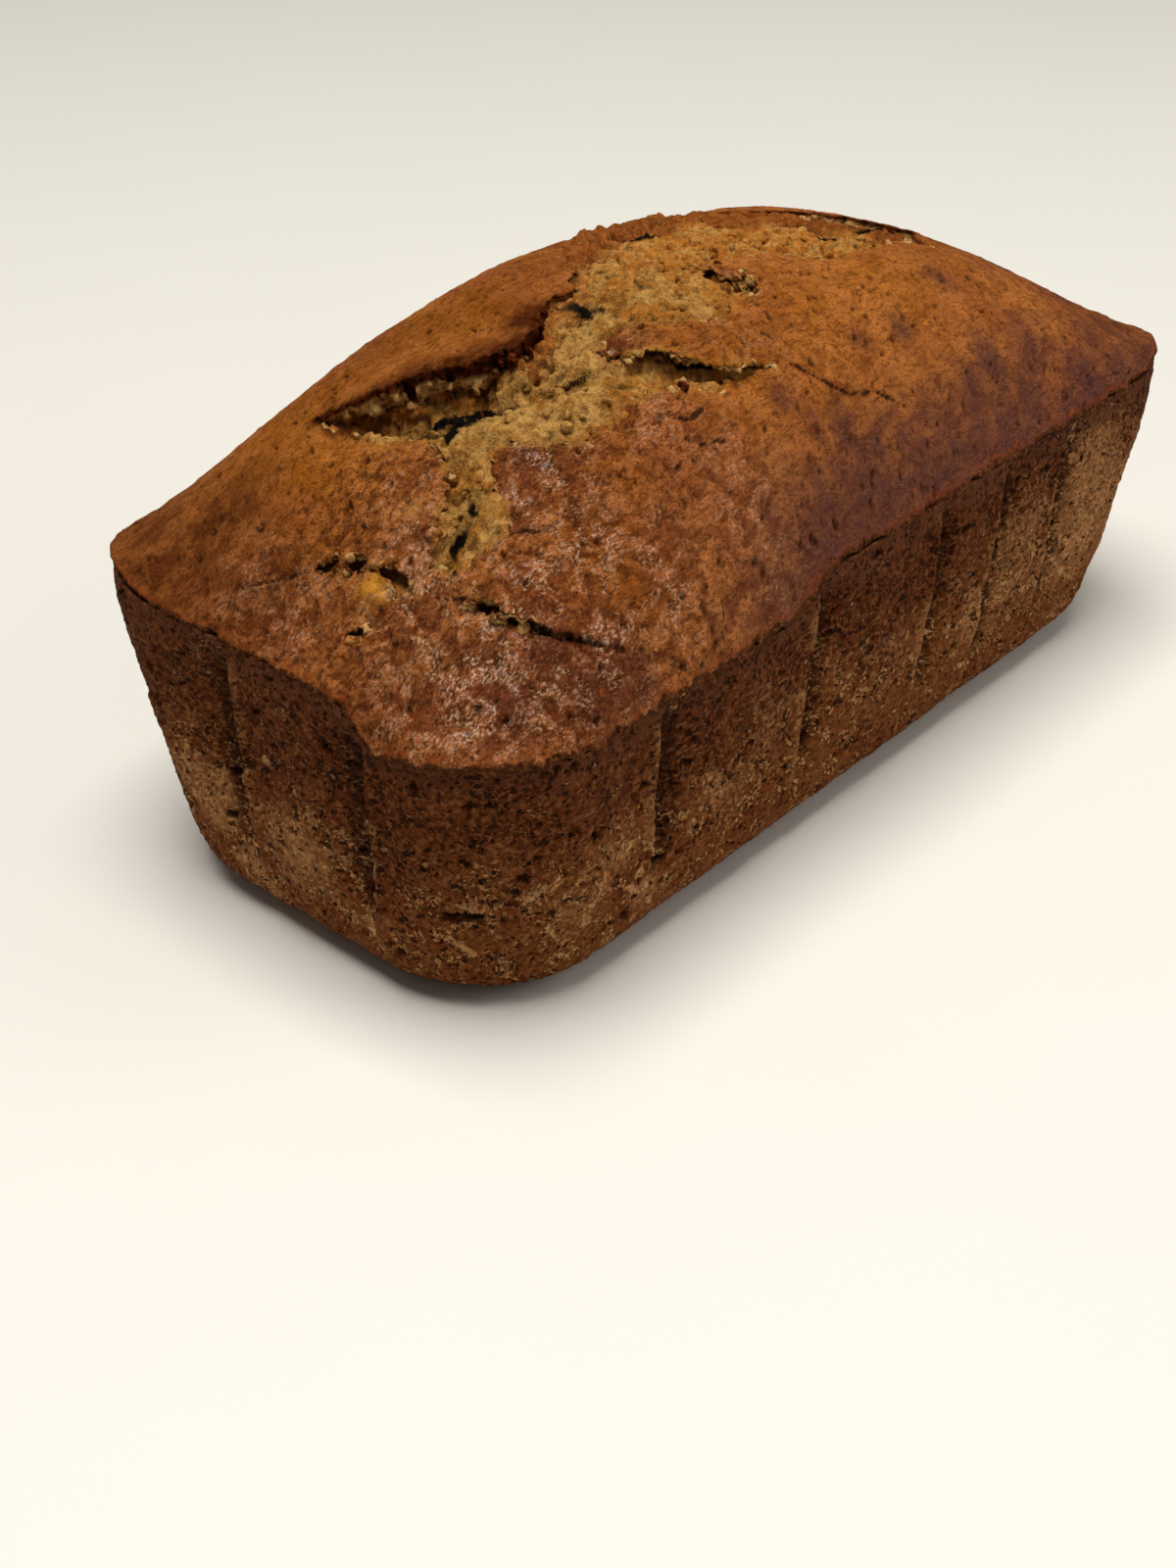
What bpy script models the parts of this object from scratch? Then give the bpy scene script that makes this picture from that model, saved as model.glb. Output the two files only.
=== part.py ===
"""Banana bread loaf: one solid, baked in a straight-sided tin with a pleated paper liner.

Metres, +Z up. The loaf stands on its flat base at z = 0, with its length along X and its
middle over the origin. The front corner is the one towards -X and -Y.
"""

import math

import bmesh
import bpy
from mathutils import Vector

# ---------------------------------------------------------------- driving dimensions
RIM_LENGTH = 0.235          # across the crust's edge, where the dome starts
RIM_WIDTH = 0.113
RIM_HEIGHT = 0.064
RIM_CORNER = 0.0245         # radius of the crust's corners, seen from above
BASE_LENGTH = 0.2245        # the tin narrows to its floor
BASE_WIDTH = 0.0993
BASE_CORNER = 0.031
BASE_EDGE = 0.0116          # rounding between wall and floor

# Dome: how far the crest stands over the rim, at shares of the half length.
CREST_STATIONS = (
    (-1.00, 0.0000), (-0.75, 0.0252), (-0.50, 0.0395), (-0.25, 0.0458), (0.00, 0.0443),
    (0.25, 0.0403), (0.50, 0.0338), (0.75, 0.0214), (1.00, 0.0000),
)
SHOULDER_POWER = 3.2        # higher is a flatter top with a steeper shoulder
RIM_PULL = 6                # how soon the rim's own ups and downs fade towards the middle

# The rim stands a little over RIM_HEIGHT, but sinks round the front corner.
RIM_RISE = 0.0032
FRONT_SINK = 0.0070
FRONT_SINK_X = -0.031       # along the long side, the sink ends here
FRONT_SINK_Y = -0.0215      # along the short side, it ends here
FRONT_SINK_FADE = 0.006

LIP_PROUD = 0.0010          # the crust's edge stands out over the wall
LIP_PLACE = 0.965           # share of the wall's height
LIP_SPREAD = 0.035

# Folds that the liner's pleats pressed into the walls: places along each wall.
FOLDS_LONG_NEAR = (-0.070, -0.0245, 0.018, 0.041, 0.066)
FOLDS_LONG_FAR = (-0.064, -0.017, 0.026, 0.072)
FOLDS_SHORT_NEAR = (-0.0215, 0.012)
FOLDS_SHORT_FAR = (-0.016, 0.019)
FOLD_DEPTH = 0.0019
FOLD_HALF_WIDTH = 0.0034
PANEL_BULGE = 0.0010        # between folds the wall pillows out
PANEL_SPREAD = 0.013
FOLD_FADE_FOOT = 0.3        # share of the wall's height over which the folds set in
FOLD_FADE_HEAD = 0.85       # and the share where they start to fade under the lip
CORNER_FADE = 0.8           # folds fade where the wall turns this far from straight

# The long tear down the crest, its branch, and the crack across the front end:
# x, y, half width and depth at each station along the middle of the opening.
TEAR = (
    (-0.081, 0.0215, 0.0020, 0.003), (-0.0765, 0.0070, 0.0075, 0.012),
    (-0.066, -0.0080, 0.0115, 0.014), (-0.052, -0.0125, 0.0135, 0.010),
    (-0.036, -0.0080, 0.0120, 0.006), (-0.018, -0.0020, 0.0120, 0.005),
    (0.000, 0.0020, 0.0110, 0.005), (0.022, 0.0010, 0.0130, 0.005),
    (0.045, 0.0000, 0.0120, 0.005), (0.064, -0.0030, 0.0080, 0.005),
    (0.075, -0.0080, 0.0020, 0.002),
)
BRANCH = (
    (-0.077, -0.0120, 0.0045, 0.008), (-0.085, -0.0180, 0.0050, 0.008),
    (-0.093, -0.0250, 0.0030, 0.005),
)
CROSS_CRACK = (
    (-0.108, 0.0080, 0.0018, 0.001), (-0.101, -0.0040, 0.0030, 0.003),
    (-0.099, -0.0160, 0.0040, 0.004), (-0.094, -0.0330, 0.0032, 0.004),
    (-0.090, -0.0430, 0.0026, 0.003), (-0.083, -0.0490, 0.0018, 0.001),
)
FLAP_GAP = (
    (-0.045, -0.0190, 0.0030, 0.004), (-0.034, -0.0300, 0.0030, 0.005),
    (-0.021, -0.0350, 0.0016, 0.002),
)
OPENINGS = (TEAR, BRANCH, CROSS_CRACK, FLAP_GAP)
OPENING_FLOOR = 0.5         # share of the half width that is down at full depth
FAR_LIP_RISE = 0.0022       # torn crust curls up along the far edge of the long tear
FAR_LIP_SPREAD = 0.0050

# Soft swells (+) and dents (-) in the crust: x, y, radius, height.
SWELLS = (
    (-0.070, -0.0400, 0.0120, -0.0016), (-0.074, -0.0520, 0.0090, 0.0010),
    (-0.101, -0.0370, 0.0130, 0.0014), (-0.104, 0.0150, 0.0120, 0.0008),
    (-0.052, -0.0370, 0.0110, 0.0009), (-0.020, -0.0490, 0.0120, -0.0009),
    (0.030, -0.0430, 0.0160, 0.0009), (0.085, -0.0300, 0.0140, -0.0010),
    (0.055, 0.0400, 0.0150, 0.0010), (-0.040, 0.0400, 0.0160, -0.0010),
)

# Mesh density.
CELLS_LONG = 66
CELLS_WIDE = 32
WALL_ROWS = 11
EDGE_ROWS = 4               # of those, the rows that turn the rounding at the base
WALL_CROWDING = 1.6         # above 1, the rows crowd towards the rim
CORNER_PULL = 4             # how soon the rounded outline fades towards the middle
EDGE_OF_SQUARE = 1 - 1e-5   # beyond this, a grid point lies on a wall
FLAT = 1e-6                 # metres

CRUST_COLOUR = (0.22, 0.085, 0.025, 1.0)
CRUST_ROUGHNESS = 0.55


def smooth_step(low, high, value):
    """0 below low, 1 above high, and an S-curve between."""
    share = min(max((value - low) / (high - low), 0.0), 1.0)
    return share * share * (3.0 - 2.0 * share)


def mix(start, end, share):
    return start + (end - start) * share


def crest_height(x):
    """Height of the crest over the rim, on a smooth curve through CREST_STATIONS."""
    place = x / (RIM_LENGTH / 2)
    place = min(max(place, -1.0), 1.0)
    last = len(CREST_STATIONS) - 1
    step = CREST_STATIONS[1][0] - CREST_STATIONS[0][0]
    index = min(int((place + 1.0) / step), last - 1)
    share = (place - CREST_STATIONS[index][0]) / step

    def height(number):
        if number < 0:
            return -CREST_STATIONS[1][1]
        if number > last:
            return -CREST_STATIONS[last - 1][1]
        return CREST_STATIONS[number][1]

    before, start, end, after = (height(index + offset) for offset in (-1, 0, 1, 2))
    slope_in = (end - before) / 2
    slope_out = (after - start) / 2
    square, cube = share * share, share ** 3
    return ((2 * cube - 3 * square + 1) * start + (cube - 2 * square + share) * slope_in
            + (3 * square - 2 * cube) * end + (cube - square) * slope_out)


def rounded_point(u, v, half_length, half_width, corner):
    """Where the edge of the unit square lands on a rounded rectangle, and the way out."""
    x, y = u * half_length, v * half_width
    core = Vector((min(max(x, corner - half_length), half_length - corner),
                   min(max(y, corner - half_width), half_width - corner)))
    out = Vector((x, y)) - core
    way = out.normalized()
    return core + way * min(out.length, corner), way


def opening_depth(x, y, stations):
    """Depth of one torn opening at a point of the crust, 0 outside it."""
    point = Vector((x, y))
    deepest = 0.0
    for (x0, y0, wide0, deep0), (x1, y1, wide1, deep1) in zip(stations, stations[1:]):
        start = Vector((x0, y0))
        along = Vector((x1, y1)) - start
        share = min(max((point - start).dot(along) / along.length_squared, 0.0), 1.0)
        distance = (point - start - along * share).length / mix(wide0, wide1, share)
        depth = mix(deep0, deep1, share) * (1 - smooth_step(OPENING_FLOOR, 1.0, distance))
        deepest = max(deepest, depth)
    return deepest


def far_lip(x, y):
    """Rise of the curled crust just beyond the far edge of the long tear."""
    rise = 0.0
    for (x0, y0, wide0, _), (x1, y1, wide1, _) in zip(TEAR, TEAR[1:]):
        if x0 <= x < x1:
            share = (x - x0) / (x1 - x0)
            beyond = y - mix(y0, y1, share) - mix(wide0, wide1, share)
            ends = smooth_step(TEAR[0][0], TEAR[1][0], x)
            ends *= 1 - smooth_step(TEAR[-2][0], TEAR[-1][0], x)
            rise = FAR_LIP_RISE * ends * math.exp(-(beyond / FAR_LIP_SPREAD) ** 2)
    return rise


def crust_height(x, y, ring):
    """Height of the crust. ring is 0 in the middle and 1 on the rim."""
    shoulder = 1 - min(abs(y) / (RIM_WIDTH / 2), 1.0) ** SHOULDER_POWER
    sink = ((1 - smooth_step(FRONT_SINK_X - FRONT_SINK_FADE, FRONT_SINK_X + FRONT_SINK_FADE, x))
            * (1 - smooth_step(FRONT_SINK_Y - FRONT_SINK_FADE, FRONT_SINK_Y + FRONT_SINK_FADE, y)))
    height = RIM_HEIGHT + crest_height(x) * shoulder
    height += (RIM_RISE - FRONT_SINK * sink) * ring ** RIM_PULL
    inner = 1 - ring ** RIM_PULL
    for swell_x, swell_y, radius, rise in SWELLS:
        distance = math.hypot(x - swell_x, y - swell_y)
        height += rise * math.exp(-(distance / radius) ** 2) * inner
    height += far_lip(x, y)
    height -= max(opening_depth(x, y, stations) for stations in OPENINGS)
    return height


def crust_point(u, v):
    """Point of the domed top for a place on the unit square."""
    ring = max(abs(u), abs(v))
    half_length, half_width = RIM_LENGTH / 2, RIM_WIDTH / 2
    x, y = u * half_length, v * half_width
    if ring > 0:
        edge, _ = rounded_point(u / ring, v / ring, half_length, half_width, RIM_CORNER)
        pull = ring ** CORNER_PULL
        x = mix(x, edge.x * ring, pull)
        y = mix(y, edge.y * ring, pull)
    return Vector((x, y, crust_height(x, y, ring)))


def floor_point(u, v):
    """Point of the flat base for a place on the unit square."""
    ring = max(abs(u), abs(v))
    half_length = BASE_LENGTH / 2 - BASE_EDGE
    half_width = BASE_WIDTH / 2 - BASE_EDGE
    if ring == 0:
        return Vector((0.0, 0.0, 0.0))
    edge, _ = rounded_point(u / ring, v / ring, half_length, half_width, BASE_CORNER - BASE_EDGE)
    return Vector((edge.x * ring, edge.y * ring, 0.0))


def fold_offset(place, folds):
    """How far a wall stands out (+) or in (-) at a place along it."""
    nearest = min(abs(place - fold) for fold in folds)
    groove = FOLD_DEPTH * math.exp(-(nearest / FOLD_HALF_WIDTH) ** 2)
    bulge = PANEL_BULGE * (1 - math.exp(-(nearest / PANEL_SPREAD) ** 2))
    return bulge - groove


def wall_offset(point, way):
    """Pleats of the wall that faces the given way, faded out round the corners."""
    if abs(way.x) > abs(way.y):
        folds = FOLDS_SHORT_NEAR if way.x < 0 else FOLDS_SHORT_FAR
        straight = smooth_step(CORNER_FADE, 1.0, abs(way.x))
        return fold_offset(point.y, folds) * straight
    folds = FOLDS_LONG_NEAR if way.y < 0 else FOLDS_LONG_FAR
    straight = smooth_step(CORNER_FADE, 1.0, abs(way.y))
    return fold_offset(point.x, folds) * straight


def wall_point(u, v, w):
    """Point of the wall: u, v on the edge of the unit square, w from -1 at the base to 1."""
    row = (w + 1) / 2 * WALL_ROWS
    rim, _ = rounded_point(u, v, RIM_LENGTH / 2, RIM_WIDTH / 2, RIM_CORNER)
    top = crust_height(rim.x, rim.y, 1.0)
    inset = climb = 0.0
    if row <= EDGE_ROWS:
        turn = math.pi / 2 * row / EDGE_ROWS
        inset = BASE_EDGE * (1 - math.sin(turn))
        height = BASE_EDGE * (1 - math.cos(turn))
    else:
        climb = 1 - (1 - (row - EDGE_ROWS) / (WALL_ROWS - EDGE_ROWS)) ** WALL_CROWDING
        height = mix(BASE_EDGE, top, climb)
    share = min(height / RIM_HEIGHT, 1.0)
    half_length = mix(BASE_LENGTH, RIM_LENGTH, share) / 2 - inset
    half_width = mix(BASE_WIDTH, RIM_WIDTH, share) / 2 - inset
    corner = mix(BASE_CORNER, RIM_CORNER, share) - inset
    edge, way = rounded_point(u, v, half_length, half_width, corner)
    lip = LIP_PROUD * math.exp(-((climb - LIP_PLACE) / LIP_SPREAD) ** 2)
    pleats = wall_offset(edge, way) * smooth_step(0.0, FOLD_FADE_FOOT, climb)
    pleats *= 1 - smooth_step(FOLD_FADE_HEAD, 1.0, climb)
    if climb < 1:
        edge += way * (lip + pleats)
    return Vector((edge.x, edge.y, height))


def gridded_cube():
    """A closed unit cube whose faces are cut into the loaf's grid of cells."""
    cube = bmesh.new()
    bmesh.ops.create_cube(cube, size=2.0)
    for axis, cells in enumerate((CELLS_LONG, CELLS_WIDE, WALL_ROWS)):
        edges = [edge for edge in cube.edges
                 if abs((edge.verts[1].co - edge.verts[0].co)[axis]) > 1.0]
        bmesh.ops.subdivide_edges(cube, edges=edges, cuts=cells - 1, use_grid_fill=True)
    return cube


def build_loaf(collection):
    """Shapes the cube's skin into the loaf and makes its flat base a single face."""
    cube = gridded_cube()
    for vert in cube.verts:
        u, v, w = vert.co
        if max(abs(u), abs(v)) > EDGE_OF_SQUARE:
            vert.co = wall_point(u, v, w)
        elif w > 0:
            vert.co = crust_point(u, v)
        else:
            vert.co = floor_point(u, v)
    base_faces = [face for face in cube.faces if max(vert.co.z for vert in face.verts) < FLAT]
    bmesh.ops.dissolve_faces(cube, faces=base_faces, use_verts=True)
    bmesh.ops.recalc_face_normals(cube, faces=cube.faces)
    mesh = bpy.data.meshes.new("banana_bread")
    cube.to_mesh(mesh)
    cube.free()
    mesh.shade_smooth()
    loaf = bpy.data.objects.new("banana_bread", mesh)
    collection.objects.link(loaf)
    return loaf


def crust_material():
    """Plain baked brown."""
    material = bpy.data.materials.new("baked_crust")
    material.use_nodes = True
    shader = material.node_tree.nodes["Principled BSDF"]
    shader.inputs["Base Color"].default_value = CRUST_COLOUR
    shader.inputs["Roughness"].default_value = CRUST_ROUGHNESS
    shader.inputs["Metallic"].default_value = 0.0
    return material


def main():
    for old in list(bpy.data.objects):
        bpy.data.objects.remove(old)
    collection = bpy.data.collections.new("banana bread")
    bpy.context.scene.collection.children.link(collection)
    loaf = build_loaf(collection)
    loaf.data.materials.append(crust_material())


main()
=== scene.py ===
"""Banana bread loaf: crust, torn crumb and tin-baked walls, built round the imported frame.

The loaf stands on z = 0 with its length along X and its middle over the origin, in metres.
The front corner lies towards -X and -Y. Sizes named "mm" are millimetres.
"""

import logging
import math
from dataclasses import dataclass
from typing import Iterable, Sequence

import bpy
import numpy as np
from mathutils import Euler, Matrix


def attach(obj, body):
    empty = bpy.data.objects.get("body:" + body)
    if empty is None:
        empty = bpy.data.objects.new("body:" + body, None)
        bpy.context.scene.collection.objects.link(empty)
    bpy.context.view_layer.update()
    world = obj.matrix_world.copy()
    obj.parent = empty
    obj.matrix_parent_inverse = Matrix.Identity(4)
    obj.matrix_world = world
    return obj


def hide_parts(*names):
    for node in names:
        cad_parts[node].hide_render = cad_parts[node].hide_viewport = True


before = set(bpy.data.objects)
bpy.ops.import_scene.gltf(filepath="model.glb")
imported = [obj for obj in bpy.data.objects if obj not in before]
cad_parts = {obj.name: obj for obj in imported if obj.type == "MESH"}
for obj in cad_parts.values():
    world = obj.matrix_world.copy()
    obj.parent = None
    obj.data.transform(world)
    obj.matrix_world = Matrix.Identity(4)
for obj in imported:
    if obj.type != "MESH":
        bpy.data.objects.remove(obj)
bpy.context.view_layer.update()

MM = 0.001
NODE = "banana_bread"
BODY = "root"

log = logging.getLogger("banana bread")

Array = np.ndarray
Colour = tuple[float, float, float]
Outline = tuple[tuple[float, float], ...]
Stations = tuple[tuple[float, float, float, float], ...]
Spots = tuple[tuple[float, ...], ...]
Piece = bpy.types.Object


# ---- numbers and noise
def ease(low: float, high: float, value: Array) -> Array:
    """0 below low, 1 above high, and an S-curve between."""
    share = np.clip((value - low) / (high - low), 0.0, 1.0)
    return share * share * (3.0 - 2.0 * share)


def mix(start: Array, end: Array, share: Array) -> Array:
    """Straight blend from start to end."""
    return start + (end - start) * share


def bell(distance: Array, reach: float) -> Array:
    """1 at no distance, falling off over reach."""
    return np.exp(-(distance / reach) ** 2)


class Noise:
    """Seeded gradient noise over points in space."""

    LATTICE = 256
    CORNERS = tuple((i, j, k) for i in (0, 1) for j in (0, 1) for k in (0, 1))

    def __init__(self, seed: int) -> None:
        """Draws the lattice's order and slopes from the seed.

        Args:
            seed: chooses the noise.
        """
        random = np.random.default_rng(seed)
        order = random.permutation(self.LATTICE)
        self.order = np.concatenate([order, order])
        slopes = random.normal(size=(self.LATTICE, 3))
        self.slopes = slopes / np.linalg.norm(slopes, axis=1, keepdims=True)

    def single(self, points: Array, size: float) -> Array:
        """One layer of noise.

        Args:
            points: places, with the last axis holding x, y, z.
            size: width of a feature, in the points' units.

        Returns:
            Values of about -1 to 1, one for each point.
        """
        scaled = points / size
        cell = np.floor(scaled).astype(int)
        inner = scaled - cell
        fade = inner ** 3 * (inner * (inner * 6 - 15) + 10)
        total = np.zeros(points.shape[:-1])
        wrap = self.LATTICE - 1
        for corner in self.CORNERS:
            place = (cell + corner) & wrap
            key = self.order[self.order[self.order[place[..., 0]] + place[..., 1]] + place[..., 2]]
            slope = self.slopes[key & wrap]
            weight = np.prod(np.where(corner, fade, 1 - fade), axis=-1)
            total += weight * np.sum(slope * (inner - corner), axis=-1)
        return total * 1.6

    def layered(self, points: Array, size: float, layers: int, fall: float = 0.5) -> Array:
        """Several layers, each half as wide as the last and weaker by fall.

        Args:
            points: places, with the last axis holding x, y, z.
            size: width of the widest features.
            layers: how many.
            fall: strength of each layer over that of the last.

        Returns:
            Values of about -1 to 1, one for each point.
        """
        total = np.zeros(points.shape[:-1])
        for layer in range(layers):
            total += fall ** layer * self.single(points + 17.3 * layer * size, size / 2 ** layer)
        return total


# ---- the loaf's own form
@dataclass(frozen=True)
class LoafForm:
    """The loaf's outline, dome and rim, the same as the frame's solid."""

    rim_length: float = 0.235
    rim_width: float = 0.113
    rim_height: float = 0.064
    rim_corner: float = 0.0245
    base_length: float = 0.2245
    base_width: float = 0.0993
    base_corner: float = 0.031
    base_edge: float = 0.0116
    crest: tuple[float, ...] = (0.0, 0.0252, 0.0395, 0.0458, 0.0443, 0.0403, 0.0338, 0.0214, 0.0)
    shoulder_power: float = 3.2
    rim_pull: int = 6
    corner_pull: int = 4
    rim_rise: float = 0.0032
    front_sink: float = 0.0070
    front_sink_x: float = -0.031
    front_sink_y: float = -0.0215
    front_sink_fade: float = 0.006
    swells: Stations = (
        (-0.070, -0.0400, 0.0120, -0.0022), (-0.074, -0.0520, 0.0090, 0.0012),
        (-0.101, -0.0370, 0.0130, 0.0018), (-0.104, 0.0150, 0.0120, 0.0008),
        (-0.052, -0.0370, 0.0110, 0.0009), (-0.020, -0.0490, 0.0120, -0.0009),
        (0.030, -0.0430, 0.0160, 0.0009), (0.085, -0.0300, 0.0140, -0.0010),
        (0.055, 0.0400, 0.0150, 0.0010), (-0.040, 0.0400, 0.0160, -0.0010),
        (-0.090, -0.0040, 0.0060, 0.0012), (-0.088, 0.0120, 0.0050, -0.0007),
    )

    def crest_height(self, x: Array) -> Array:
        """Height of the crest over the rim, on a smooth curve through the stations.

        Args:
            x: places along the loaf, in metres.

        Returns:
            Heights in metres.
        """
        last = len(self.crest) - 1
        heights = np.array((-self.crest[1],) + self.crest + (-self.crest[-2],))
        place = np.clip(x / (self.rim_length / 2), -1.0, 1.0)
        along = (place + 1.0) / 2.0 * last
        index = np.clip(along.astype(int), 0, last - 1)
        share = along - index
        before, start, end, after = (heights[index + offset] for offset in range(4))
        slope_in = (end - before) / 2
        slope_out = (after - start) / 2
        square, cube = share ** 2, share ** 3
        return ((2 * cube - 3 * square + 1) * start + (cube - 2 * square + share) * slope_in
                + (3 * square - 2 * cube) * end + (cube - square) * slope_out)

    @staticmethod
    def rounded(u: Array, v: Array, half_length: Array, half_width: Array,
                corner: Array) -> tuple[Array, Array, Array, Array]:
        """Where the edge of the unit square lands on a rounded rectangle.

        Args:
            u, v: places on the edge of the unit square.
            half_length, half_width, corner: half the sides, and the corners' radius.

        Returns:
            x and y of the point, then x and y of the way out of the rectangle.
        """
        x, y = u * half_length, v * half_width
        core_x = np.clip(x, corner - half_length, half_length - corner)
        core_y = np.clip(y, corner - half_width, half_width - corner)
        out_x, out_y = x - core_x, y - core_y
        length = np.maximum(np.hypot(out_x, out_y), 1e-9)
        way_x, way_y = out_x / length, out_y / length
        reach = np.minimum(length, corner)
        return core_x + way_x * reach, core_y + way_y * reach, way_x, way_y

    def rim_point(self, u: Array, v: Array) -> tuple[Array, Array, Array, Array]:
        """A point of the rim and the way out of it, for the edge of the unit square."""
        return self.rounded(u, v, self.rim_length / 2, self.rim_width / 2, self.rim_corner)

    def height(self, x: Array, y: Array, ring: Array) -> Array:
        """Height of the crust without its openings. ring is 0 in the middle, 1 on the rim.

        Args:
            x, y: places in metres.
            ring: 0 in the middle, 1 on the rim.

        Returns:
            Heights over the plate, in metres.
        """
        shoulder = 1 - np.minimum(np.abs(y) / (self.rim_width / 2), 1.0) ** self.shoulder_power
        fade = self.front_sink_fade
        sink = 1 - ease(self.front_sink_x - fade, self.front_sink_x + fade, x)
        sink = sink * (1 - ease(self.front_sink_y - fade, self.front_sink_y + fade, y))
        height = self.rim_height + self.crest_height(x) * shoulder
        height = height + (self.rim_rise - self.front_sink * sink) * ring ** self.rim_pull
        inner = 1 - ring ** self.rim_pull
        for swell_x, swell_y, radius, rise in self.swells:
            height = height + rise * bell(np.hypot(x - swell_x, y - swell_y), radius) * inner
        return height

    def place(self, u: Array, v: Array) -> tuple[Array, Array, Array]:
        """x, y and ring of a point of the dome, for a place on the unit square.

        Args:
            u, v: places on the unit square, from -1 to 1.

        Returns:
            x and y in metres, and ring.
        """
        ring = np.maximum(np.maximum(np.abs(u), np.abs(v)), 1e-9)
        edge_x, edge_y, _, _ = self.rim_point(u / ring, v / ring)
        pull = ring ** self.corner_pull
        x = mix(u * self.rim_length / 2, edge_x * ring, pull)
        y = mix(v * self.rim_width / 2, edge_y * ring, pull)
        return x, y, ring

    def ring_at(self, x: Array, y: Array) -> Array:
        """ring for a point given by x and y, away from the corners."""
        return np.clip(np.maximum(np.abs(x) / (self.rim_length / 2), np.abs(y) / (self.rim_width / 2)), 0, 1)


def from_line(x: Array, y: Array, start: Sequence[float], end: Sequence[float]) -> tuple[Array, Array]:
    """How far along a straight line a point lies, as a share of 0 to 1, and how far from it."""
    x0, y0, run_x, run_y = start[0], start[1], end[0] - start[0], end[1] - start[1]
    share = np.clip(((x - x0) * run_x + (y - y0) * run_y) / (run_x ** 2 + run_y ** 2), 0, 1)
    return share, np.hypot(x - x0 - share * run_x, y - y0 - share * run_y)


def outline_distance(x: Array, y: Array, corners: Outline) -> Array:
    """Distance to a closed outline, below 0 inside it.

    Args:
        x, y: places.
        corners: the outline's corners, in order.

    Returns:
        Distances, in the places' own unit.
    """
    nearest = np.full(x.shape, np.inf)
    inside = np.zeros(x.shape, bool)
    for (x0, y0), (x1, y1) in zip(corners, corners[1:] + corners[:1]):
        nearest = np.minimum(nearest, from_line(x, y, (x0, y0), (x1, y1))[1])
        if y0 != y1:
            crossed = ((y0 > y) != (y1 > y)) & (x < (x1 - x0) * (y - y0) / (y1 - y0) + x0)
            inside ^= crossed
    return np.where(inside, -nearest, nearest)


def chain(x: Array, y: Array, stations: Stations) -> tuple[Array, Array, Array]:
    """Nearness to a chain of stations, each x, y, half width and amount.

    Args:
        x, y: places.
        stations: the chain's stations, in order.

    Returns:
        Distance in half widths, distance past the half width, and the amount there.
    """
    nearest = np.full(x.shape, np.inf)
    past = np.full(x.shape, np.inf)
    amount = np.zeros(x.shape)
    for start, end in zip(stations, stations[1:]):
        share, distance = from_line(x, y, start, end)
        wide = mix(start[2], end[2], share)
        closer = distance / wide < nearest
        nearest = np.where(closer, distance / wide, nearest)
        past = np.where(closer, distance - wide, past)
        amount = np.where(closer, mix(start[3], end[3], share), amount)
    return nearest, past, amount


@dataclass(frozen=True)
class Curl:
    """Torn crust that has lifted along a line, on the line's left side. All mm."""

    line: Outline
    lift: float
    reach: float
    lean: tuple[float, float] = (-0.95, -0.83)

    def shift(self, x: Array, y: Array) -> tuple[Array, Array, Array]:
        """How far a point of crust moves along x, y and z.

        Args:
            x, y: places in mm.

        Returns:
            The move along x, y and z, in mm.
        """
        nearest = np.full(x.shape, np.inf)
        rise = np.zeros(x.shape)
        lengths = [math.dist(start, end) for start, end in zip(self.line, self.line[1:])]
        whole = sum(lengths)
        done = 0.0
        for (x0, y0), (x1, y1), length in zip(self.line, self.line[1:], lengths):
            run_x, run_y = (x1 - x0) / length, (y1 - y0) / length
            along = np.clip((x - x0) * run_x + (y - y0) * run_y, 0, length)
            distance = np.hypot(x - x0 - along * run_x, y - y0 - along * run_y)
            left = (y - y0) * run_x - (x - x0) * run_y > -0.3
            share = (done + along) / whole
            ends = ease(0.0, 0.22, share) * (1 - ease(0.8, 1.0, share))
            closer = distance < nearest
            nearest = np.where(closer, distance, nearest)
            rise = np.where(closer, left * ends * self.lift * bell(distance, self.reach), rise)
            done += length
        return rise * self.lean[0], rise * self.lean[1], rise


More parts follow.
